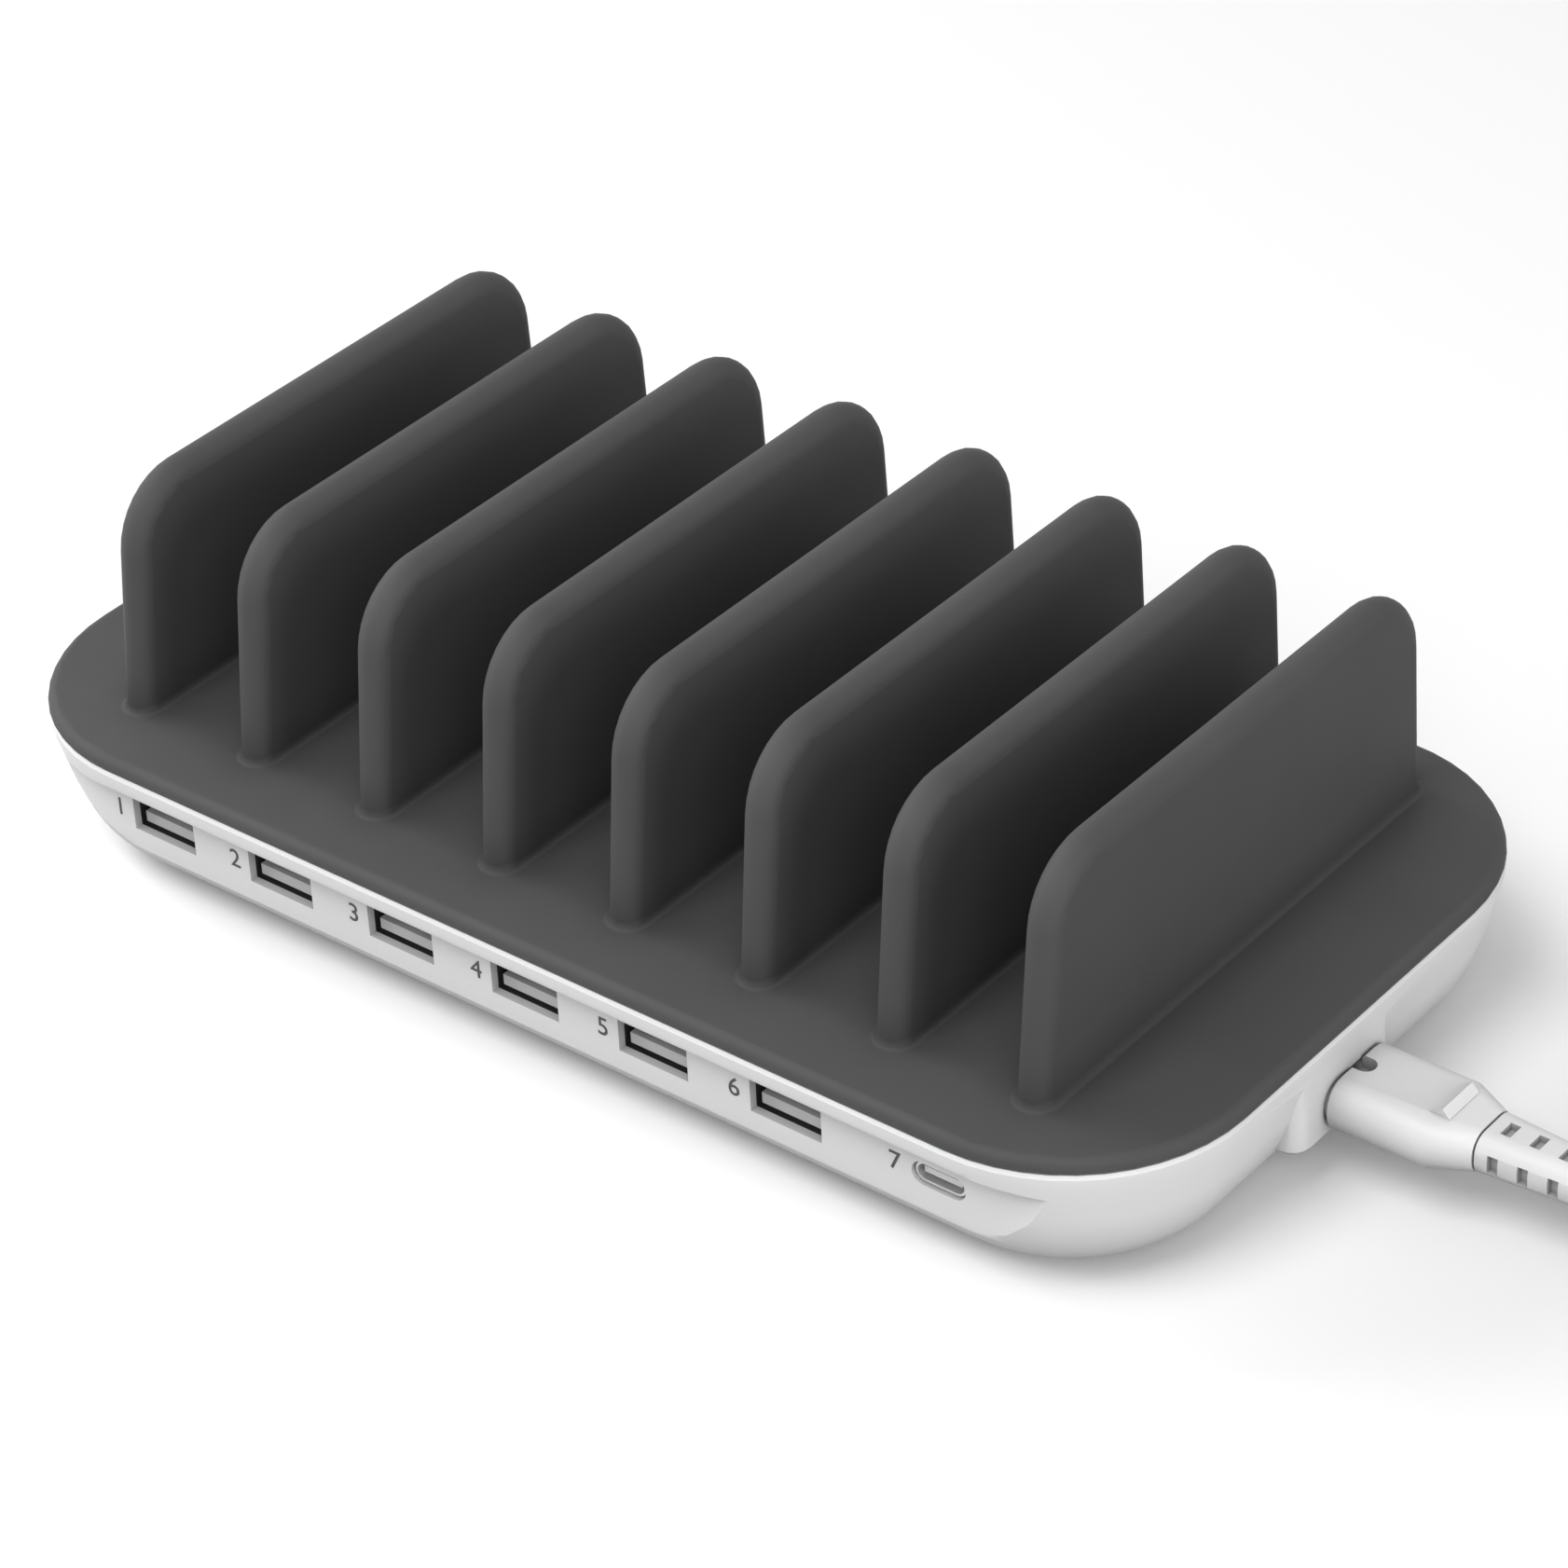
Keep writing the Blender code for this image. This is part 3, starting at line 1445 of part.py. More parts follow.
def coil_points():
    """Loops that spiral in, climb one layer and spiral out over the first ones."""
    layer_points = round(COIL_TURNS_A_LAYER * COIL_POINTS_A_LOOP)
    total = layer_points * 2
    climb = COIL_POINTS_A_LOOP // 2
    points = [Vector((COIL_START_X, INLET_Y, COIL_REST))]
    for i in range(total + 1):
        turns = i / COIL_POINTS_A_LOOP
        depth = min(turns, 2 * COIL_TURNS_A_LAYER - turns)
        radius = COIL_OUTER - COIL_PITCH * depth
        rise = (i - layer_points + climb / 2) / climb
        height = COIL_REST + COIL_LAYER * min(max(rise, 0.0), 1.0)
        turn = 2 * math.pi * turns - math.pi / 2
        points.append(
            Vector(
                (
                    COIL_X + radius * math.cos(turn),
                    COIL_Y + radius * math.sin(turn),
                    height,
                )
            )
        )
    points.append(points[-1] - Vector((CORD_DIAMETER, 0, 0)))
    return points


def segment_distance(a, b, c, d):
    """The least distance between two straight pieces, by the closest-point rule."""
    u, v, w = b - a, d - c, a - c
    uu, uv, vv, uw, vw = u.dot(u), u.dot(v), v.dot(v), u.dot(w), v.dot(w)
    span = uu * vv - uv * uv
    s = min(max((uv * vw - vv * uw) / span, 0.0), 1.0) if span else 0.0
    t = min(max((uv * s + vw) / vv, 0.0), 1.0)
    s = min(max((uv * t - uw) / uu, 0.0), 1.0)
    return (w + u * s - v * t).length


def least_self_gap(points, skip):
    """The smallest clear gap between stretches at least skip points apart."""
    least = None
    for i in range(len(points) - 1):
        for j in range(i + skip, len(points) - 1):
            apart = segment_distance(points[i], points[i + 1], points[j], points[j + 1])
            least = apart if least is None else min(least, apart)
    return least - CORD_DIAMETER


def make_cord():
    points = coil_points()
    gap = least_self_gap(points, COIL_POINTS_A_LOOP // 2)
    print(f"least gap between the coil's loops: {gap * 1000:.2f} mm")
    tube("cord_coil", points, LEAD_WHITE, 1)
    start = (RELIEF_FINISH + GAP, INLET_Y, INLET_HEIGHT)
    end = (COIL_START_X - GAP, INLET_Y, COIL_REST)
    way = Vector((end[0] - start[0], 0, 0))
    count = max(4, round(way.length / (CORD_DIAMETER * 2)))
    run = smooth_route(start, way, end, way, count)
    tube("cord_run", run, LEAD_WHITE, 4)
    tail_start = points[-1] - Vector((GAP, 0, 0))
    way = Vector((-TAIL_LENGTH, 0, 0))
    tail_end = Vector((tail_start.x - TAIL_LENGTH, tail_start.y, WALL_AXIS_HEIGHT))
    count = max(4, round(TAIL_LENGTH / (CORD_DIAMETER * 2)))
    tail = smooth_route(tail_start, way, tail_end, way, count)
    tube("cord_tail", tail, LEAD_WHITE, 4)
    length = sum(
        (b - a).length
        for stretch in (run, points, tail)
        for a, b in zip(stretch, stretch[1:])
    )
    print(f"cord length: {length * 1000:.0f} mm")
    return tail_end - Vector((GAP, 0, 0))


def make_coil_tie():
    """A flat band round the loops where they pass the coil's near side."""
    near = COIL_OUTER - COIL_PITCH * TIE_TURN_share
    far = near - COIL_PITCH * math.floor(COIL_TURNS_A_LAYER - TIE_TURN_share)
    middle = COIL_X - (near + far) / 2
    half = (near - far) / 2 + CORD_RADIUS + TIE_CLEARANCE
    low = COIL_REST - CORD_RADIUS - TIE_CLEARANCE
    high = COIL_REST + COIL_LAYER + CORD_RADIUS + TIE_CLEARANCE

    def band(grow, half_width):
        plan = rounded_plan(
            half + grow,
            low - grow,
            high + grow,
            CORD_RADIUS + TIE_CLEARANCE + grow,
            TIE_EDGE_STEPS,
        )
        bm = bmesh.new()
        add_loft(
            bm,
            [
                [(middle + a, COIL_Y + side * half_width, b) for a, b in plan]
                for side in (-1, 1)
            ],
        )
        return bm

    tie = mesh_object("coil_tie", band(TIE_THICKNESS, TIE_WIDTH / 2), TIE_BLACK)
    combine(tie, mesh_object("tie_opening", band(0.0, TIE_WIDTH / 2 + OVERRUN)))
    smooth(tie)


def make_wall_plug(start):
    """A two-blade plug that lies on its side, its blades along -X."""
    y, z = start.y, start.z
    relief_end = start.x - WALL_RELIEF_LENGTH
    profile = []
    step = WALL_RELIEF_LENGTH / WALL_RELIEF_RIBS
    groove = (WALL_RELIEF_END - CORD_RADIUS) * WALL_GROOVE_share
    for rib in range(WALL_RELIEF_RIBS):
        low = rib / WALL_RELIEF_RIBS
        high = (rib + WALL_RIB_share) / WALL_RELIEF_RIBS
        for share in (low, high):
            radius = WALL_RELIEF_RADIUS + (WALL_RELIEF_END - WALL_RELIEF_RADIUS) * share
            profile.append((radius, -WALL_RELIEF_LENGTH * share))
        if rib < WALL_RELIEF_RIBS - 1:
            profile.append((radius - groove, -WALL_RELIEF_LENGTH * high))
            profile.append((radius - groove, -step * (rib + 1)))
    profile.append((WALL_RELIEF_END, -WALL_RELIEF_LENGTH))
    relief = turned(
        "plug_strain_relief",
        [(0, 0), *profile, (0, -WALL_RELIEF_LENGTH)],
        (relief_end, y, z),
        LEAD_WHITE,
        16,
    )
    relief.rotation_euler = (0, math.radians(-90), 0)
    body_start = relief_end - GAP
    body_end = body_start - WALL_NECK_LENGTH - WALL_BODY_LENGTH
    bm = bmesh.new()
    rings = []
    for x, width, height in (
        (body_start, WALL_NECK_WIDTH, WALL_NECK_WIDTH),
        (body_start - WALL_NECK_LENGTH, WALL_BODY_WIDTH, WALL_BODY_HEIGHT),
        (body_end, WALL_BODY_WIDTH, WALL_BODY_HEIGHT),
    ):
        plan = rounded_plan(
            width / 2, -height / 2, height / 2, WALL_BODY_EDGE, PLUG_EDGE_STEPS
        )
        rings.append([(x, y + a, z + b) for a, b in plan])
    add_loft(bm, rings)
    body = mesh_object("wall_plug_body", bm, LEAD_WHITE)
    smooth(body)
    for index, side in enumerate((-1, 1), 1):
        make_blade(index, body_end - GAP, y + side * BLADE_SPREAD / 2, z)


def make_blade(index, start, y, z):
    end = start - BLADE_LENGTH
    half = BLADE_THICKNESS / 2
    blade = box_part(
        f"plug_blade_{index}",
        (end, y - half, z - BLADE_WIDTH / 2),
        (start, y + half, z + BLADE_WIDTH / 2),
        BRASS,
    )
    bm = bmesh.new()
    add_cylinder(
        bm,
        (end + BLADE_HOLE_SETBACK, y, z),
        BLADE_HOLE_RADIUS,
        BLADE_THICKNESS + OVERRUN,
        "Y",
        16,
    )
    combine(blade, mesh_object(f"blade_hole_{index}", bm))


clear_scene()
PARTS = new_collection("charging_station")
CUTTERS = new_collection("cutters")
STATION = bpy.data.objects.new("station_origin", None)
PARTS.objects.link(STATION)

SHELL_WHITE = new_material("shell_white", (0.74, 0.74, 0.74), 0.42)
DECK_GREY = new_material("deck_grey", (0.085, 0.085, 0.088), 0.55)
STEEL = new_material("steel", (0.55, 0.55, 0.56), 0.3, 1.0)
TONGUE_PLASTIC = new_material("tongue_plastic", (0.42, 0.42, 0.42), 0.5)
BLACK_PLASTIC = new_material("black_plastic", (0.02, 0.02, 0.02), 0.45)
BOARD_GREEN = new_material("board_green", (0.03, 0.16, 0.07), 0.5)
FERRITE = new_material("ferrite", (0.05, 0.05, 0.055), 0.6)
TAPE_YELLOW = new_material("tape_yellow", (0.72, 0.55, 0.09), 0.5)
CAN_BLACK = new_material("can_black", (0.03, 0.03, 0.04), 0.35)
ALUMINIUM = new_material("aluminium", (0.72, 0.72, 0.73), 0.35, 1.0)
RUBBER = new_material("rubber", (0.04, 0.04, 0.04), 0.85)
LEAD_WHITE = new_material("lead_white", (0.76, 0.76, 0.76), 0.45)
TIE_BLACK = new_material("tie_black", (0.025, 0.025, 0.025), 0.6)
BRASS = new_material("plated_brass", (0.70, 0.68, 0.60), 0.25, 1.0)

make_shell()
make_deck()
for number, port_x in enumerate(port_positions(), 1):
    make_can(number, port_x)
make_usb_c()
make_board()
make_screws()
make_feet()
make_transformer()
make_capacitors()
make_choke()
make_heat_sink()
make_fuse()
make_inlet()
make_connector()
make_strain_relief()
make_wall_plug(make_cord())
make_coil_tie()
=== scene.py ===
"""Looks for the desktop charging station: materials, port numbers, cord, floor, light and camera."""

import json
import math

import bmesh
import bpy
from mathutils import Matrix, Vector


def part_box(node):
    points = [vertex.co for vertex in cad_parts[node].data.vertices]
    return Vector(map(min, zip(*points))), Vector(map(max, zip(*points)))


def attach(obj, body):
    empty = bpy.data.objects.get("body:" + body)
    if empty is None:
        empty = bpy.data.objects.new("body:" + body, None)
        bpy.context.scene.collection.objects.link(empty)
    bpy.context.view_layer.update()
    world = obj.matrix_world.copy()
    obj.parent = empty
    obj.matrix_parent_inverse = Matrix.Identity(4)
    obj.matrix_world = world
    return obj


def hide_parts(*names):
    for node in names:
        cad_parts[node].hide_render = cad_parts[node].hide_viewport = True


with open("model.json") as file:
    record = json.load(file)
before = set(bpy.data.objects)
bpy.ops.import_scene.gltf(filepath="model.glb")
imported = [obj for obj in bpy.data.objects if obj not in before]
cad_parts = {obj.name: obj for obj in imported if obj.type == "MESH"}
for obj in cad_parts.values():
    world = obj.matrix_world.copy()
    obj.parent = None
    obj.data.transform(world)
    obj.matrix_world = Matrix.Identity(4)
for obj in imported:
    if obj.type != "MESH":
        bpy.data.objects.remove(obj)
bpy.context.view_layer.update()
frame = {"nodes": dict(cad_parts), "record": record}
NODES = frame["nodes"]
MOUNTS = {mount["name"]: mount["pos_m"] for mount in frame["record"]["mounts"]}
SCENE = bpy.context.scene

# Lengths are in metres, angles in degrees, powers in watts and colours in linear light

# Places that the frame gives
DECK_TOP = MOUNTS["bay_floor_1"][2]
SOCKET_FACE = MOUNTS["usb_a_panel_1"][1]

# Camera, fitted to the deck's outline, the fins and the six mouths
CAMERA_PLACE = (0.438947, -0.512705, 0.487239)
CAMERA_AZIMUTH = 40.201
CAMERA_ELEVATION = 34.619
CAMERA_ROLL = -3.070
CAMERA_NEAR = 0.05
CAMERA_FAR = 20.0
FOCAL_PIXELS = 5646.14
PHOTO_WIDTH = 1682
SENSOR_MILLIMETRES = 36.0

# Colours of the case and the lead
DECK_GREY = (0.068, 0.068, 0.069)
SHELL_WHITE = (0.875, 0.875, 0.88)
LEAD_WHITE = (0.82, 0.82, 0.825)

# The part of a noise over which a surface goes from its one shade to the other
CLOUD_LOW = 0.3
CLOUD_HIGH = 0.7

# Moulded plastic: flow marks, uneven gloss, and two bumps, the spark grain and a slow wave
FLOW_SCALE = 38.0
GLOSS_SCALE = 90.0
GLOSS_SPREAD = 0.05
SPARK_SCALE = 5200.0
SPARK_STRENGTH = 0.22
SPARK_DEPTH = 0.00003
WAVE_SCALE = 420.0
WAVE_STRENGTH = 0.10
WAVE_DEPTH = 0.00006
# Painted shade: samples of the occlusion that darkens the colour where faces stand close
PAINTED_SHADE_SAMPLES = 6

# Painted shade in a soft band round a fin's foot: its start over the deck, its rise and its depth of
# tone
FOOT_SHADE_LIFT = 0.00002
FOOT_SHADE_RISE = 0.0015
FOOT_SHADE_DEPTH = 0.45

# Metal: lines brushed along X, uneven gloss and faint stains
BRUSH_STRETCH = (400.0, 9000.0, 9000.0)
BRUSH_DEPTH = 0.00001
BRUSH_SMOOTHER = 0.08
BRUSH_ROUGHER = 0.10
STAIN_SCALE = 160.0
STAIN_HIGH = 0.75
STAIN_SHADE = 0.88

# Small mouldings: name, colour, roughness and what the names of their nodes start with
PLASTICS = (
    ("tongue_moulding", (0.62, 0.62, 0.62), 0.50, ("usb_a_tongue",)),
    ("pale_tongue_moulding", (0.80, 0.80, 0.80), 0.50, ("usb_c_tongue",)),
    ("black_moulding", (0.018, 0.018, 0.018), 0.45, ("usb_c_riser", "inlet_socket")),
)

# Metals: name, colour, roughness, strength of the brushing and what the nodes' names start with
METALS = (
    # The USB-A cans are far darker than nickel: painted shade, so that the gaps in their mouths look
    # shadowed
    ("dark_nickel", (0.10, 0.10, 0.10), 0.55, 0.15, ("usb_a_can",)),
    ("satin_nickel", (0.66, 0.66, 0.66), 0.55, 0.15, ("usb_c_can",)),
    ("plated_steel", (0.56, 0.56, 0.57), 0.30, 0.30, ("case_screw", "board_screw", "inlet_pin")),
    ("plated_brass", (0.70, 0.68, 0.60), 0.24, 0.15, ("plug_blade",)),
    ("fuse_caps", (0.62, 0.62, 0.60), 0.22, 0.10, ("line_fuse",)),
    ("bare_aluminium", (0.70, 0.70, 0.71), 0.38, 0.40, ("heat_sink",)),
)

# Shading: edges over these angles stay crisp, on the shell and on the other nodes
WELD_DISTANCE = 0.00001
SHELL_CRISP_ANGLE = 25
NODE_CRISP_ANGLE = 35

# Cord: the route of part.py, with finer turns
CORD_DIAMETER = 0.0060
CORD_BEVEL_STEPS = 6
RUN_REACH = 0.0666
COIL_OUTER = 0.0455
COIL_SPACE = 0.0006
COIL_TURNS_A_LAYER = 3.25
COIL_REST = 0.0043
COIL_POINTS_A_LOOP = 48
RUN_POINTS = 18
TAIL_POINTS = 7

# Port numbers, printed on the front beside the mouths
USB_A_COUNT = 6
NUMBER_HEIGHT = 0.0034
NUMBER_SPACE = 0.0030
INK_THICKNESS = 0.00003
FONT_SIZE_FOR_A_HEIGHT = 1.38
USB_A_MOUTH_HALF = 0.0066
USB_C_MOUTH_HALF = 0.00485

# Floor and world: both give the case less light than the camera sees in them
FLOOR_HALF = 6.0
PAPER_SCALE = 3.0
PAPER_SHADE = 1.02
FLOOR_SEEN = (0.94, 0.94, 0.94)
FLOOR_BOUNCE = (0.34, 0.34, 0.34)
FLOOR_GLOW = 0.05
WORLD_SEEN = 1.0
WORLD_LEVEL = 0.22

# Lamps: name, azimuth from +X, elevation, diameter and power
LAMP_DISTANCE = 1.7
LAMPS = (
    ("front_top", -90.0, 60.0, 1.0, 13.5),
    ("left", -177.0, 35.0, 1.0, 13.0),
    ("front_left", -150.0, 18.0, 0.7, 5.5),
    ("front_right", -45.0, 35.0, 1.0, 7.4),
    ("right", -8.0, 18.0, 0.7, 8.0),
)


# Small helpers


def add_object(name, data):
    obj = bpy.data.objects.new(name, data)
    SCENE.collection.objects.link(obj)
    return obj


def direction(azimuth, elevation):
    """The way from the origin at an azimuth from +X and an elevation, both in radians."""
    flat = math.cos(elevation)
    return Vector((math.cos(azimuth) * flat, math.sin(azimuth) * flat, math.sin(elevation)))


def corners(node):
    """The lowest and the highest corner of a node's box."""
    low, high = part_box(node)
    return Vector(low), Vector(high)


# Camera: its azimuth is 0 in front of the object, at -Y


def make_camera():
    azimuth, elevation, roll = (
        math.radians(angle) for angle in (CAMERA_AZIMUTH, CAMERA_ELEVATION, CAMERA_ROLL)
    )
    back = direction(azimuth - math.pi / 2, elevation)
    right = direction(azimuth, 0.0)
    up = back.cross(right)
    x_axis = math.cos(roll) * right + math.sin(roll) * up
    y_axis = math.cos(roll) * up - math.sin(roll) * right
    data = bpy.data.cameras.new("camera")
    data.sensor_width = SENSOR_MILLIMETRES
    data.lens = SENSOR_MILLIMETRES * FOCAL_PIXELS / PHOTO_WIDTH
    data.clip_start = CAMERA_NEAR
    data.clip_end = CAMERA_FAR
    camera = add_object("camera", data)
    turn = Matrix((x_axis, y_axis, back)).transposed().to_4x4()
    camera.matrix_world = Matrix.Translation(CAMERA_PLACE) @ turn
    SCENE.camera = camera


# Node trees


class Tree:
    """Short names for building one node tree."""

    def __init__(self, tree):
        self.tree = tree

    def new(self, kind, **settings):
        node = self.tree.nodes.new(kind)
        for key, value in settings.items():
            if key in node.inputs:
                node.inputs[key].default_value = value
            else:
                setattr(node, key, value)
        return node

    def link(self, a, b):
        self.tree.links.new(a, b)

    def combine(self, operation, a, b):
        node = self.new("ShaderNodeMath", operation=operation)
        self.link(a, node.inputs[0])
        self.link(b, node.inputs[1])
        return node.outputs[0]

    def between(self, value, low, high):
        """Moves a value from 0 to 1 into the range from low to high."""
        node = self.new("ShaderNodeMapRange")
        node.inputs["To Min"].default_value = low
        node.inputs["To Max"].default_value = high
        self.link(value, node.inputs["Value"])
        return node.outputs["Result"]

    def eased(self, value, start, end):
        """Goes softly from 0 at the start to 1 at the end."""
        node = self.new("ShaderNodeMapRange", interpolation_type="SMOOTHSTEP")
        node.inputs["From Min"].default_value = start
        node.inputs["From Max"].default_value = end
        self.link(value, node.inputs["Value"])
        return node.outputs["Result"]

    def seen(self):
        """1 for what the camera, a reflection or a clear piece shows, 0 for bounced light."""
        path = self.new("ShaderNodeLightPath").outputs
        direct = self.combine("MAXIMUM", path["Is Camera Ray"], path["Is Glossy Ray"])
        return self.combine("MAXIMUM", direct, path["Is Transmission Ray"])


class Surface(Tree):
    """The node tree of one material."""

    def __init__(self, name):
        self.material = bpy.data.materials.new(name)
        self.material.use_nodes = True
        super().__init__(self.material.node_tree)
        self.shader = self.tree.nodes["Principled BSDF"]
        self.point = self.new("ShaderNodeTexCoord").outputs["Object"]

    def set(self, **values):
        for key, value in values.items():
            self.shader.inputs[key.replace("_", " ")].default_value = value

    def stretched(self, scale):
        node = self.new("ShaderNodeMapping")
        node.inputs["Scale"].default_value = scale
        self.link(self.point, node.inputs["Vector"])
        return node.outputs["Vector"]

    def noise(self, scale, detail=2.0, point=None):
        node = self.new("ShaderNodeTexNoise", Scale=scale, Detail=detail)
        self.link(point or self.point, node.inputs["Vector"])
        return node.outputs["Fac"]

    def ramp(self, value, low, high, colours):
        node = self.new("ShaderNodeValToRGB")
        node.color_ramp.elements[0].position = low
        node.color_ramp.elements[1].position = high
        for element, colour in zip(node.color_ramp.elements, colours):
            element.color = (*colour, 1.0)
        self.link(value, node.inputs["Fac"])
        return node.outputs["Color"]

    def mix(self, factor, a, b):
        """Blends two colours; each is the output of a node or a plain colour."""
        node = self.new("ShaderNodeMix", data_type="RGBA")
        self.link(factor, node.inputs["Factor"])
        for name, colour in (("A", a), ("B", b)):
            if isinstance(colour, tuple):
                node.inputs[name].default_value = (*colour, 1.0)
            else:
                self.link(colour, node.inputs[name])
        return node.outputs["Result"]

    def creased(self, tone, dark, reach):
        """Paints shade into a tone where other faces stand closer than the reach."""
        near = self.new("ShaderNodeAmbientOcclusion", Distance=reach, samples=PAINTED_SHADE_SAMPLES)
        return self.mix(near.outputs["AO"], dark, tone)

    def banded(self, tone, dark, bottom, rise):
        """Paints shade into a tone in a soft band that starts at a height and fades above it."""
        place = self.new("ShaderNodeSeparateXYZ")
        self.link(self.point, place.inputs["Vector"])
        height = place.outputs["Z"]
        start = self.eased(height, bottom, bottom + rise / 4)
        finish = self.eased(height, bottom + rise, bottom + rise / 3)
        return self.mix(self.combine("MULTIPLY", start, finish), tone, dark)

    def colour(self, tone):
        self.link(tone, self.shader.inputs["Base Color"])

    def roughness(self, value, low, high):
        self.link(self.between(value, low, high), self.shader.inputs["Roughness"])

    def bump(self, *layers):
        """Bumps over each other; a layer is a height, a strength and a depth."""
        normal = None
        for height, strength, depth in layers:
            node = self.new("ShaderNodeBump", Strength=strength, Distance=depth)
            self.link(height, node.inputs["Height"])
            if normal:
                self.link(normal, node.inputs["Normal"])
            normal = node.outputs["Normal"]
        self.link(normal, self.shader.inputs["Normal"])


def shade(colour, factor):
    return tuple(min(1.0, part * factor) for part in colour)


# Materials


def moulded(name, colour, roughness, grain=1.0, vary=0.04, gloss=0.42, painted_shade=None, foot_shade_band=None):
    """Moulded plastic: a fine spark grain, faint flow marks and uneven gloss.

    painted_shade is the reach and the depth of the shade painted where other faces stand close,
    foot_shade_band the start, rise and depth of a band of painted shade where a wall meets its
    floor.
    """
    n = Surface(name)
    shades = (shade(colour, 1 - vary), shade(colour, 1 + vary))
    tone = n.ramp(n.noise(FLOW_SCALE, 3.0), CLOUD_LOW, CLOUD_HIGH, shades)
    if painted_shade:
        reach, depth = painted_shade
        tone = n.creased(tone, shade(colour, 1 - depth), reach)
    if foot_shade_band:
        bottom, rise, depth = foot_shade_band
        tone = n.banded(tone, shade(colour, 1 - depth), bottom, rise)
    n.colour(tone)
    n.roughness(n.noise(GLOSS_SCALE, 4.0), roughness - GLOSS_SPREAD, roughness + GLOSS_SPREAD)
    n.bump(
        (n.noise(SPARK_SCALE), SPARK_STRENGTH * grain, SPARK_DEPTH),
        (n.noise(WAVE_SCALE), WAVE_STRENGTH * grain, WAVE_DEPTH),
    )
    n.set(Specular_IOR_Level=gloss)
    return n.material


def deck_plastic():
    """Matt dark grey, with shade painted between the fins, in its creases and round the fins' feet.
    """
    return moulded(
        "deck_moulding",
        DECK_GREY,
        roughness=0.66,
        vary=0.05,
        gloss=0.26,
        painted_shade=(0.008, 0.6),
        foot_shade_band=(DECK_TOP + FOOT_SHADE_LIFT, FOOT_SHADE_RISE, FOOT_SHADE_DEPTH),
    )


def shell_plastic():
    """Satin white with a grain that hardly shows, and shade painted where faces stand close."""
    return moulded(
        "shell_moulding",
        SHELL_WHITE,
        roughness=0.42,
        grain=0.4,
        vary=0.010,
        painted_shade=(0.016, 0.6),
    )


def lead_plastic():
    """Soft white of the connector, the sleeves, the cord and the wall plug, with deep shade painted
    where faces stand close.
    """
    return moulded(
        "lead_moulding",
        LEAD_WHITE,
        roughness=0.45,
        grain=0.4,
        vary=0.012,
        painted_shade=(0.020, 0.78),
    )


def metal(name, colour, roughness, brushing):
    """Plated or rolled metal: brushed along one way, with faint stains."""
    n = Surface(name)
    lines = n.noise(1.0, point=n.stretched(BRUSH_STRETCH))
    shades = (shade(colour, STAIN_SHADE), colour)
    n.colour(n.ramp(n.noise(STAIN_SCALE, 4.0), CLOUD_LOW, STAIN_HIGH, shades))
    n.roughness(lines, roughness - BRUSH_SMOOTHER, roughness + BRUSH_ROUGHER)
    n.bump((lines, brushing, BRUSH_DEPTH))
    n.set(Metallic=1.0)
    return n.material


def board_mask():
    """Solder mask with copper tracks showing through as lighter lanes."""
    n = Surface("board_mask")
    lanes = n.new(
        "ShaderNodeTexBrick",
        Scale=160.0,
        Color1=(0.018, 0.11, 0.045, 1.0),
        Color2=(0.022, 0.13, 0.055, 1.0),
        Mortar=(0.05, 0.22, 0.10, 1.0),
    )
    lanes.inputs["Mortar Size"].default_value = 0.06
    n.link(n.point, lanes.inputs["Vector"])
    n.colour(lanes.outputs["Color"])
    n.roughness(n.noise(300.0), 0.3, 0.45)
    n.bump((lanes.outputs["Fac"], 0.3, 0.00004))
    return n.material


def tape():
    """Polyester tape wound in turns, each a little apart in shade."""
    n = Surface("winding_tape")
    turns = n.new(
        "ShaderNodeTexWave",
        Scale=120.0,
        Distortion=0.6,
        Detail=2.0,
        bands_direction="Z",
    )
    n.link(n.point, turns.inputs["Vector"])
    fraction = turns.outputs["Fac"]
    n.colour(n.ramp(fraction, 0.2, 0.9, ((0.58, 0.40, 0.04), (0.75, 0.55, 0.08))))
    n.roughness(n.noise(200.0), 0.25, 0.4)
    n.bump((fraction, 0.3, 0.00005))
    return n.material


def woven():
    """Woven band of the coil's tie."""
    n = Surface("tie_weave")
    threads = n.new("ShaderNodeTexChecker", Scale=2200.0)
    n.link(n.point, threads.inputs["Vector"])
    fraction = threads.outputs["Fac"]
    n.colour(n.ramp(fraction, 0.0, 1.0, ((0.018, 0.018, 0.018), (0.04, 0.04, 0.04))))
    n.roughness(n.noise(900.0), 0.6, 0.8)
    n.bump((fraction, 0.4, 0.00008))
    return n.material


def speckled(name, shades, cloud, gloss, grain, start=CLOUD_LOW):
    """A clouded colour, an uneven gloss and one fine grain.

    cloud is a noise's scale and detail, gloss a scale and two roughnesses,
    grain a scale, a detail, a strength and a depth.
    """
    n = Surface(name)
    n.colour(n.ramp(n.noise(*cloud), start, CLOUD_HIGH, shades))
    scale, low, high = gloss
    n.roughness(n.noise(scale), low, high)
    scale, detail, strength, depth = grain
    n.bump((n.noise(scale, detail), strength, depth))
    return n.material


def ferrite():
    """Sintered core: coarse, dull and nearly black."""
    return speckled(
        "sintered_ferrite",
        ((0.035, 0.035, 0.038), (0.075, 0.075, 0.08)),
        cloud=(900.0, 5.0),
        gloss=(700.0, 0.55, 0.75),
        grain=(1500.0, 4.0, 0.5, 0.00006),
        start=0.35,
    )


def sleeve():
    """Shrunk sleeve on an electrolytic can."""
    return speckled(
        "capacitor_sleeve",
        ((0.022, 0.022, 0.028), (0.035, 0.035, 0.045)),
        cloud=(120.0, 3.0),
        gloss=(260.0, 0.25, 0.4),
        grain=(700.0, 2.0, 0.2, 0.00004),
    )


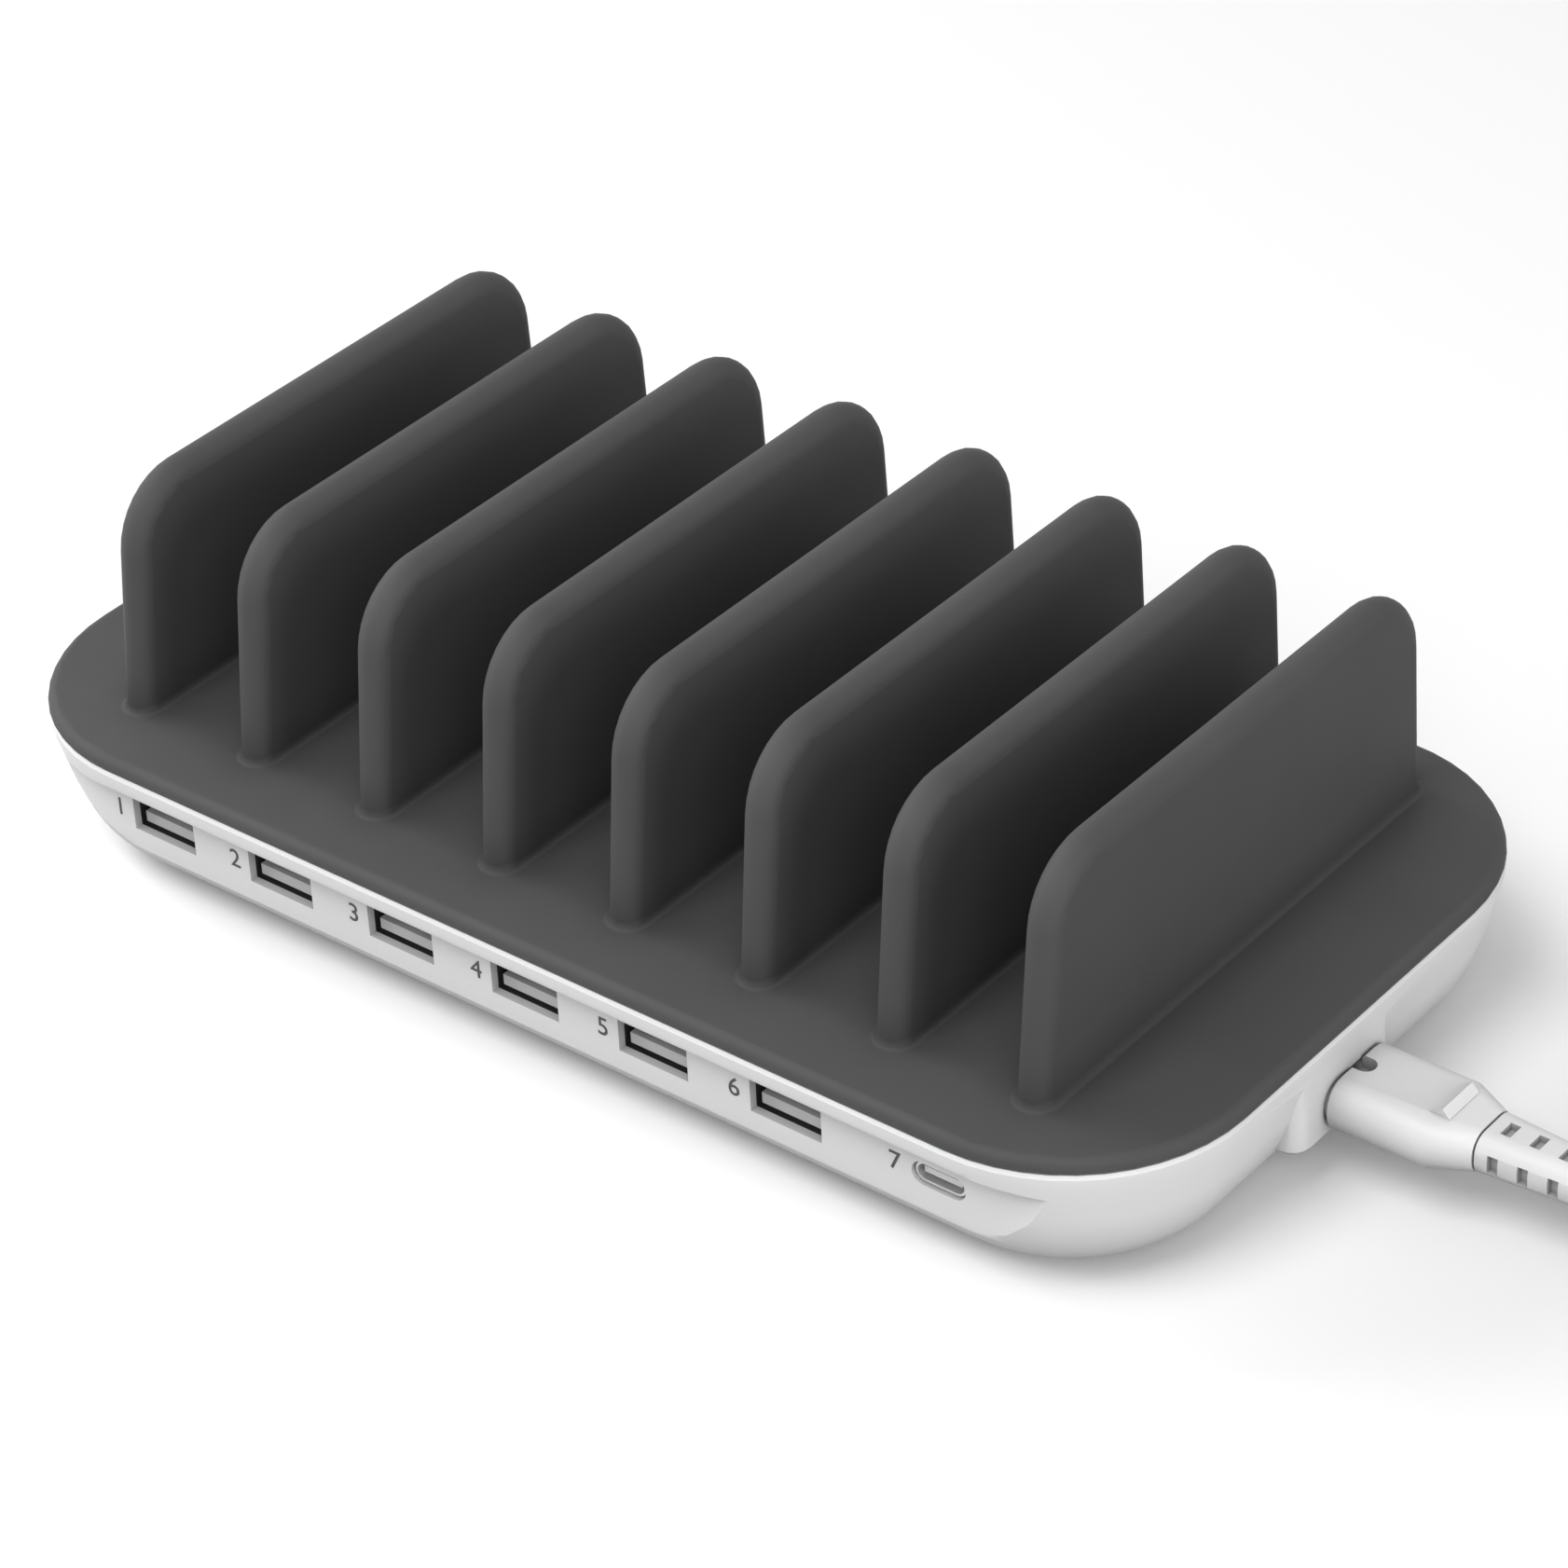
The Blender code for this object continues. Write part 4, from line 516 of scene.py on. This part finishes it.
def rubber():
    """Dull rubber of the feet."""
    return speckled(
        "foot_rubber",
        ((0.025, 0.025, 0.026), (0.05, 0.05, 0.05)),
        cloud=(260.0, 4.0),
        gloss=(500.0, 0.75, 0.95),
        grain=(2400.0, 3.0, 0.5, 0.00006),
    )


def ink():
    """Pad-printed grey ink, thin and slightly broken."""
    return speckled(
        "number_ink",
        ((0.045, 0.045, 0.047), (0.075, 0.075, 0.078)),
        cloud=(2600.0, 3.0),
        gloss=(900.0, 0.5, 0.65),
        grain=(3000.0, 2.0, 0.2, 0.00001),
    )


def assign(material, *stems):
    """Gives a material to every CAD node whose name starts with one of the stems."""
    for name, obj in NODES.items():
        if name.startswith(stems):
            obj.data.materials.clear()
            obj.data.materials.append(material)


def make_materials(lead):
    assign(deck_plastic(), "top_deck")
    assign(shell_plastic(), "base_shell")
    assign(lead, "lead_", "cord_", "plug_strain", "wall_plug")
    for name, colour, roughness, stems in PLASTICS:
        assign(moulded(name, colour, roughness), *stems)
    for name, colour, roughness, brushing, stems in METALS:
        assign(metal(name, colour, roughness, brushing), *stems)
    assign(board_mask(), "main_board")
    assign(ferrite(), "transformer_core", "output_choke")
    assign(tape(), "transformer_winding")
    assign(sleeve(), "bulk_capacitor", "output_capacitor")
    assign(rubber(), "foot_")
    assign(woven(), "coil_tie")


# Shading: soft across a moulding's curves, crisp at its real edges


def edge_group(degrees):
    """A node group that marks edges over an angle as sharp and smooths the rest."""
    group = bpy.data.node_groups.new(f"edges_{degrees}", "GeometryNodeTree")
    group.interface.new_socket("Geometry", in_out="INPUT", socket_type="NodeSocketGeometry")
    group.interface.new_socket("Geometry", in_out="OUTPUT", socket_type="NodeSocketGeometry")
    n = Tree(group)
    source = n.new("NodeGroupInput")
    bare = n.new("GeometryNodeRemoveAttribute", Name="custom_normal")
    weld = n.new("GeometryNodeMergeByDistance", Distance=WELD_DISTANCE)
    soft = n.new("GeometryNodeSetShadeSmooth")
    angle = n.new("GeometryNodeInputMeshEdgeAngle")
    over = n.new("FunctionNodeCompare", data_type="FLOAT", operation="GREATER_THAN")
    over.inputs["B"].default_value = math.radians(degrees)
    mark = n.new("GeometryNodeStoreNamedAttribute", data_type="BOOLEAN", domain="EDGE")
    mark.inputs["Name"].default_value = "sharp_edge"
    target = n.new("NodeGroupOutput")
    n.link(source.outputs[0], bare.inputs["Geometry"])
    n.link(bare.outputs["Geometry"], weld.inputs["Geometry"])
    n.link(weld.outputs["Geometry"], soft.inputs["Geometry"])
    n.link(soft.outputs["Geometry"], mark.inputs["Geometry"])
    n.link(angle.outputs["Unsigned Angle"], over.inputs["A"])
    n.link(over.outputs["Result"], mark.inputs["Value"])
    n.link(mark.outputs["Geometry"], target.inputs[0])
    return group


def soften_nodes():
    shell_group = edge_group(SHELL_CRISP_ANGLE)
    node_group = edge_group(NODE_CRISP_ANGLE)
    for name, obj in NODES.items():
        edges = obj.modifiers.new("Edges", "NODES")
        edges.node_group = shell_group if name == "base_shell" else node_group
        weigh = obj.modifiers.new("Weigh", "WEIGHTED_NORMAL")
        weigh.keep_sharp = True


# Cord


def smooth_route(start, start_way, end, end_way, count):
    """Points along a curve that leaves and arrives in the given directions."""
    points = []
    for i in range(count + 1):
        t = i / count
        points.append(
            start * (2 * t**3 - 3 * t**2 + 1)
            + start_way * (t**3 - 2 * t**2 + t)
            + end * (3 * t**2 - 2 * t**3)
            + end_way * (t**3 - t**2)
        )
    return points


def coil_points(centre):
    """Loops that spiral in, climb one layer in half a loop and spiral out over the first ones."""
    layer_points = round(COIL_TURNS_A_LAYER * COIL_POINTS_A_LOOP)
    climb = COIL_POINTS_A_LOOP // 2
    step = CORD_DIAMETER + COIL_SPACE
    points = []
    for i in range(layer_points * 2 + 1):
        turns = i / COIL_POINTS_A_LOOP
        depth = min(turns, 2 * COIL_TURNS_A_LAYER - turns)
        radius = COIL_OUTER - step * depth
        rise = (i - layer_points + climb / 2) / climb
        turn = 2 * math.pi * turns - math.pi / 2
        x = centre.x + radius * math.cos(turn)
        y = centre.y + radius * math.sin(turn)
        z = COIL_REST + step * min(max(rise, 0.0), 1.0)
        points.append(Vector((x, y, z)))
    return points


def outer_end(node):
    """The middle of a sleeve's end face, on the side of +X."""
    low, high = corners(node)
    return Vector((high.x, (low.y + high.y) / 2, (low.z + high.z) / 2))


def cord_route():
    """From the strain relief down to the table, round the coil and out to the plug."""
    exit_point = outer_end("lead_strain_relief")
    plug_point = outer_end("plug_strain_relief")
    lead_in = Vector((CORD_DIAMETER, 0, 0))
    centre_x = exit_point.x + RUN_REACH + CORD_DIAMETER
    coil = coil_points(Vector((centre_x, exit_point.y + COIL_OUTER, 0.0)))
    landing = coil[0] - lead_in
    way = Vector((landing.x - exit_point.x, 0, 0))
    run = smooth_route(exit_point, way, landing, way, RUN_POINTS)
    leaving = coil[-1] - lead_in
    way = Vector((plug_point.x - leaving.x, 0, 0))
    tail = smooth_route(leaving, way, plug_point, way, TAIL_POINTS)
    return run + coil + tail


def make_cord(material):
    points = cord_route()
    curve = bpy.data.curves.new("mains_cord", "CURVE")
    curve.dimensions = "3D"
    curve.bevel_depth = CORD_DIAMETER / 2
    curve.bevel_resolution = CORD_BEVEL_STEPS
    curve.use_fill_caps = True
    spline = curve.splines.new("POLY")
    spline.points.add(len(points) - 1)
    for target, point in zip(spline.points, points):
        target.co = (*point, 1.0)
    spline.use_smooth = True
    curve.materials.append(material)
    cord = add_object("mains_cord", curve)
    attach(cord, "lead")
    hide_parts("cord_run", "cord_coil", "cord_tail")


# Port numbers


def make_numbers():
    """Plain numbers in the order of the ports, left of each mouth and level with its middle."""
    material = ink()
    mouths = [(f"usb_a_can_{i}", USB_A_MOUTH_HALF) for i in range(1, USB_A_COUNT + 1)]
    mouths.append(("usb_c_can", USB_C_MOUTH_HALF))
    for number, (node, half) in enumerate(mouths, 1):
        low, high = corners(node)
        middle = (low + high) / 2
        text = bpy.data.curves.new(f"port_number_{number}", "FONT")
        text.body = str(number)
        text.size = NUMBER_HEIGHT * FONT_SIZE_FOR_A_HEIGHT
        text.align_x = "CENTER"
        text.align_y = "CENTER"
        text.extrude = INK_THICKNESS
        text.materials.append(material)
        piece = add_object(f"port_number_{number}", text)
        x = middle.x - half - NUMBER_SPACE
        piece.location = (x, SOCKET_FACE - INK_THICKNESS, middle.z)
        piece.rotation_euler = (math.radians(90), 0, 0)
        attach(piece, "station")


# Floor and light


def floor_paper():
    """Matt paper that stays pale to the eye and bounces little light up at the case."""
    n = Surface("floor_paper")
    n.set(Roughness=0.9, Specular_IOR_Level=0.1, Emission_Color=(1.0, 1.0, 1.0, 1.0))
    shades = (FLOOR_BOUNCE, shade(FLOOR_BOUNCE, PAPER_SHADE))
    paper = n.ramp(n.noise(PAPER_SCALE), CLOUD_LOW, CLOUD_HIGH, shades)
    seen = n.seen()
    n.colour(n.mix(seen, paper, FLOOR_SEEN))
    n.link(n.between(seen, 0.0, FLOOR_GLOW), n.shader.inputs["Emission Strength"])
    return n.material


def make_floor():
    bm = bmesh.new()
    bmesh.ops.create_grid(bm, x_segments=1, y_segments=1, size=FLOOR_HALF)
    mesh = bpy.data.meshes.new("floor")
    bm.to_mesh(mesh)
    bm.free()
    mesh.materials.append(floor_paper())
    add_object("floor", mesh)


def add_lamp(name, azimuth, elevation, diameter, power):
    """A round soft lamp that looks at the frame's origin."""
    way = direction(math.radians(azimuth), math.radians(elevation))
    data = bpy.data.lights.new(name, "AREA")
    data.shape = "DISK"
    data.size = diameter
    data.energy = power
    light = add_object(name, data)
    light.location = LAMP_DISTANCE * way
    light.rotation_mode = "QUATERNION"
    light.rotation_quaternion = way.to_track_quat("Z", "Y")


def make_world():
    """White to the eye, and a low even light from all round."""
    world = bpy.data.worlds.new("studio")
    world.use_nodes = True
    n = Tree(world.node_tree)
    back = n.tree.nodes["Background"]
    back.inputs["Color"].default_value = (1.0, 1.0, 1.0, 1.0)
    n.link(n.between(n.seen(), WORLD_LEVEL, WORLD_SEEN), back.inputs["Strength"])
    SCENE.world = world


def make_light():
    make_world()
    for lamp in LAMPS:
        add_lamp(*lamp)
    SCENE.view_settings.view_transform = "Standard"


lead_material = lead_plastic()
make_camera()
make_materials(lead_material)
soften_nodes()
make_cord(lead_material)
make_numbers()
make_floor()
make_light()
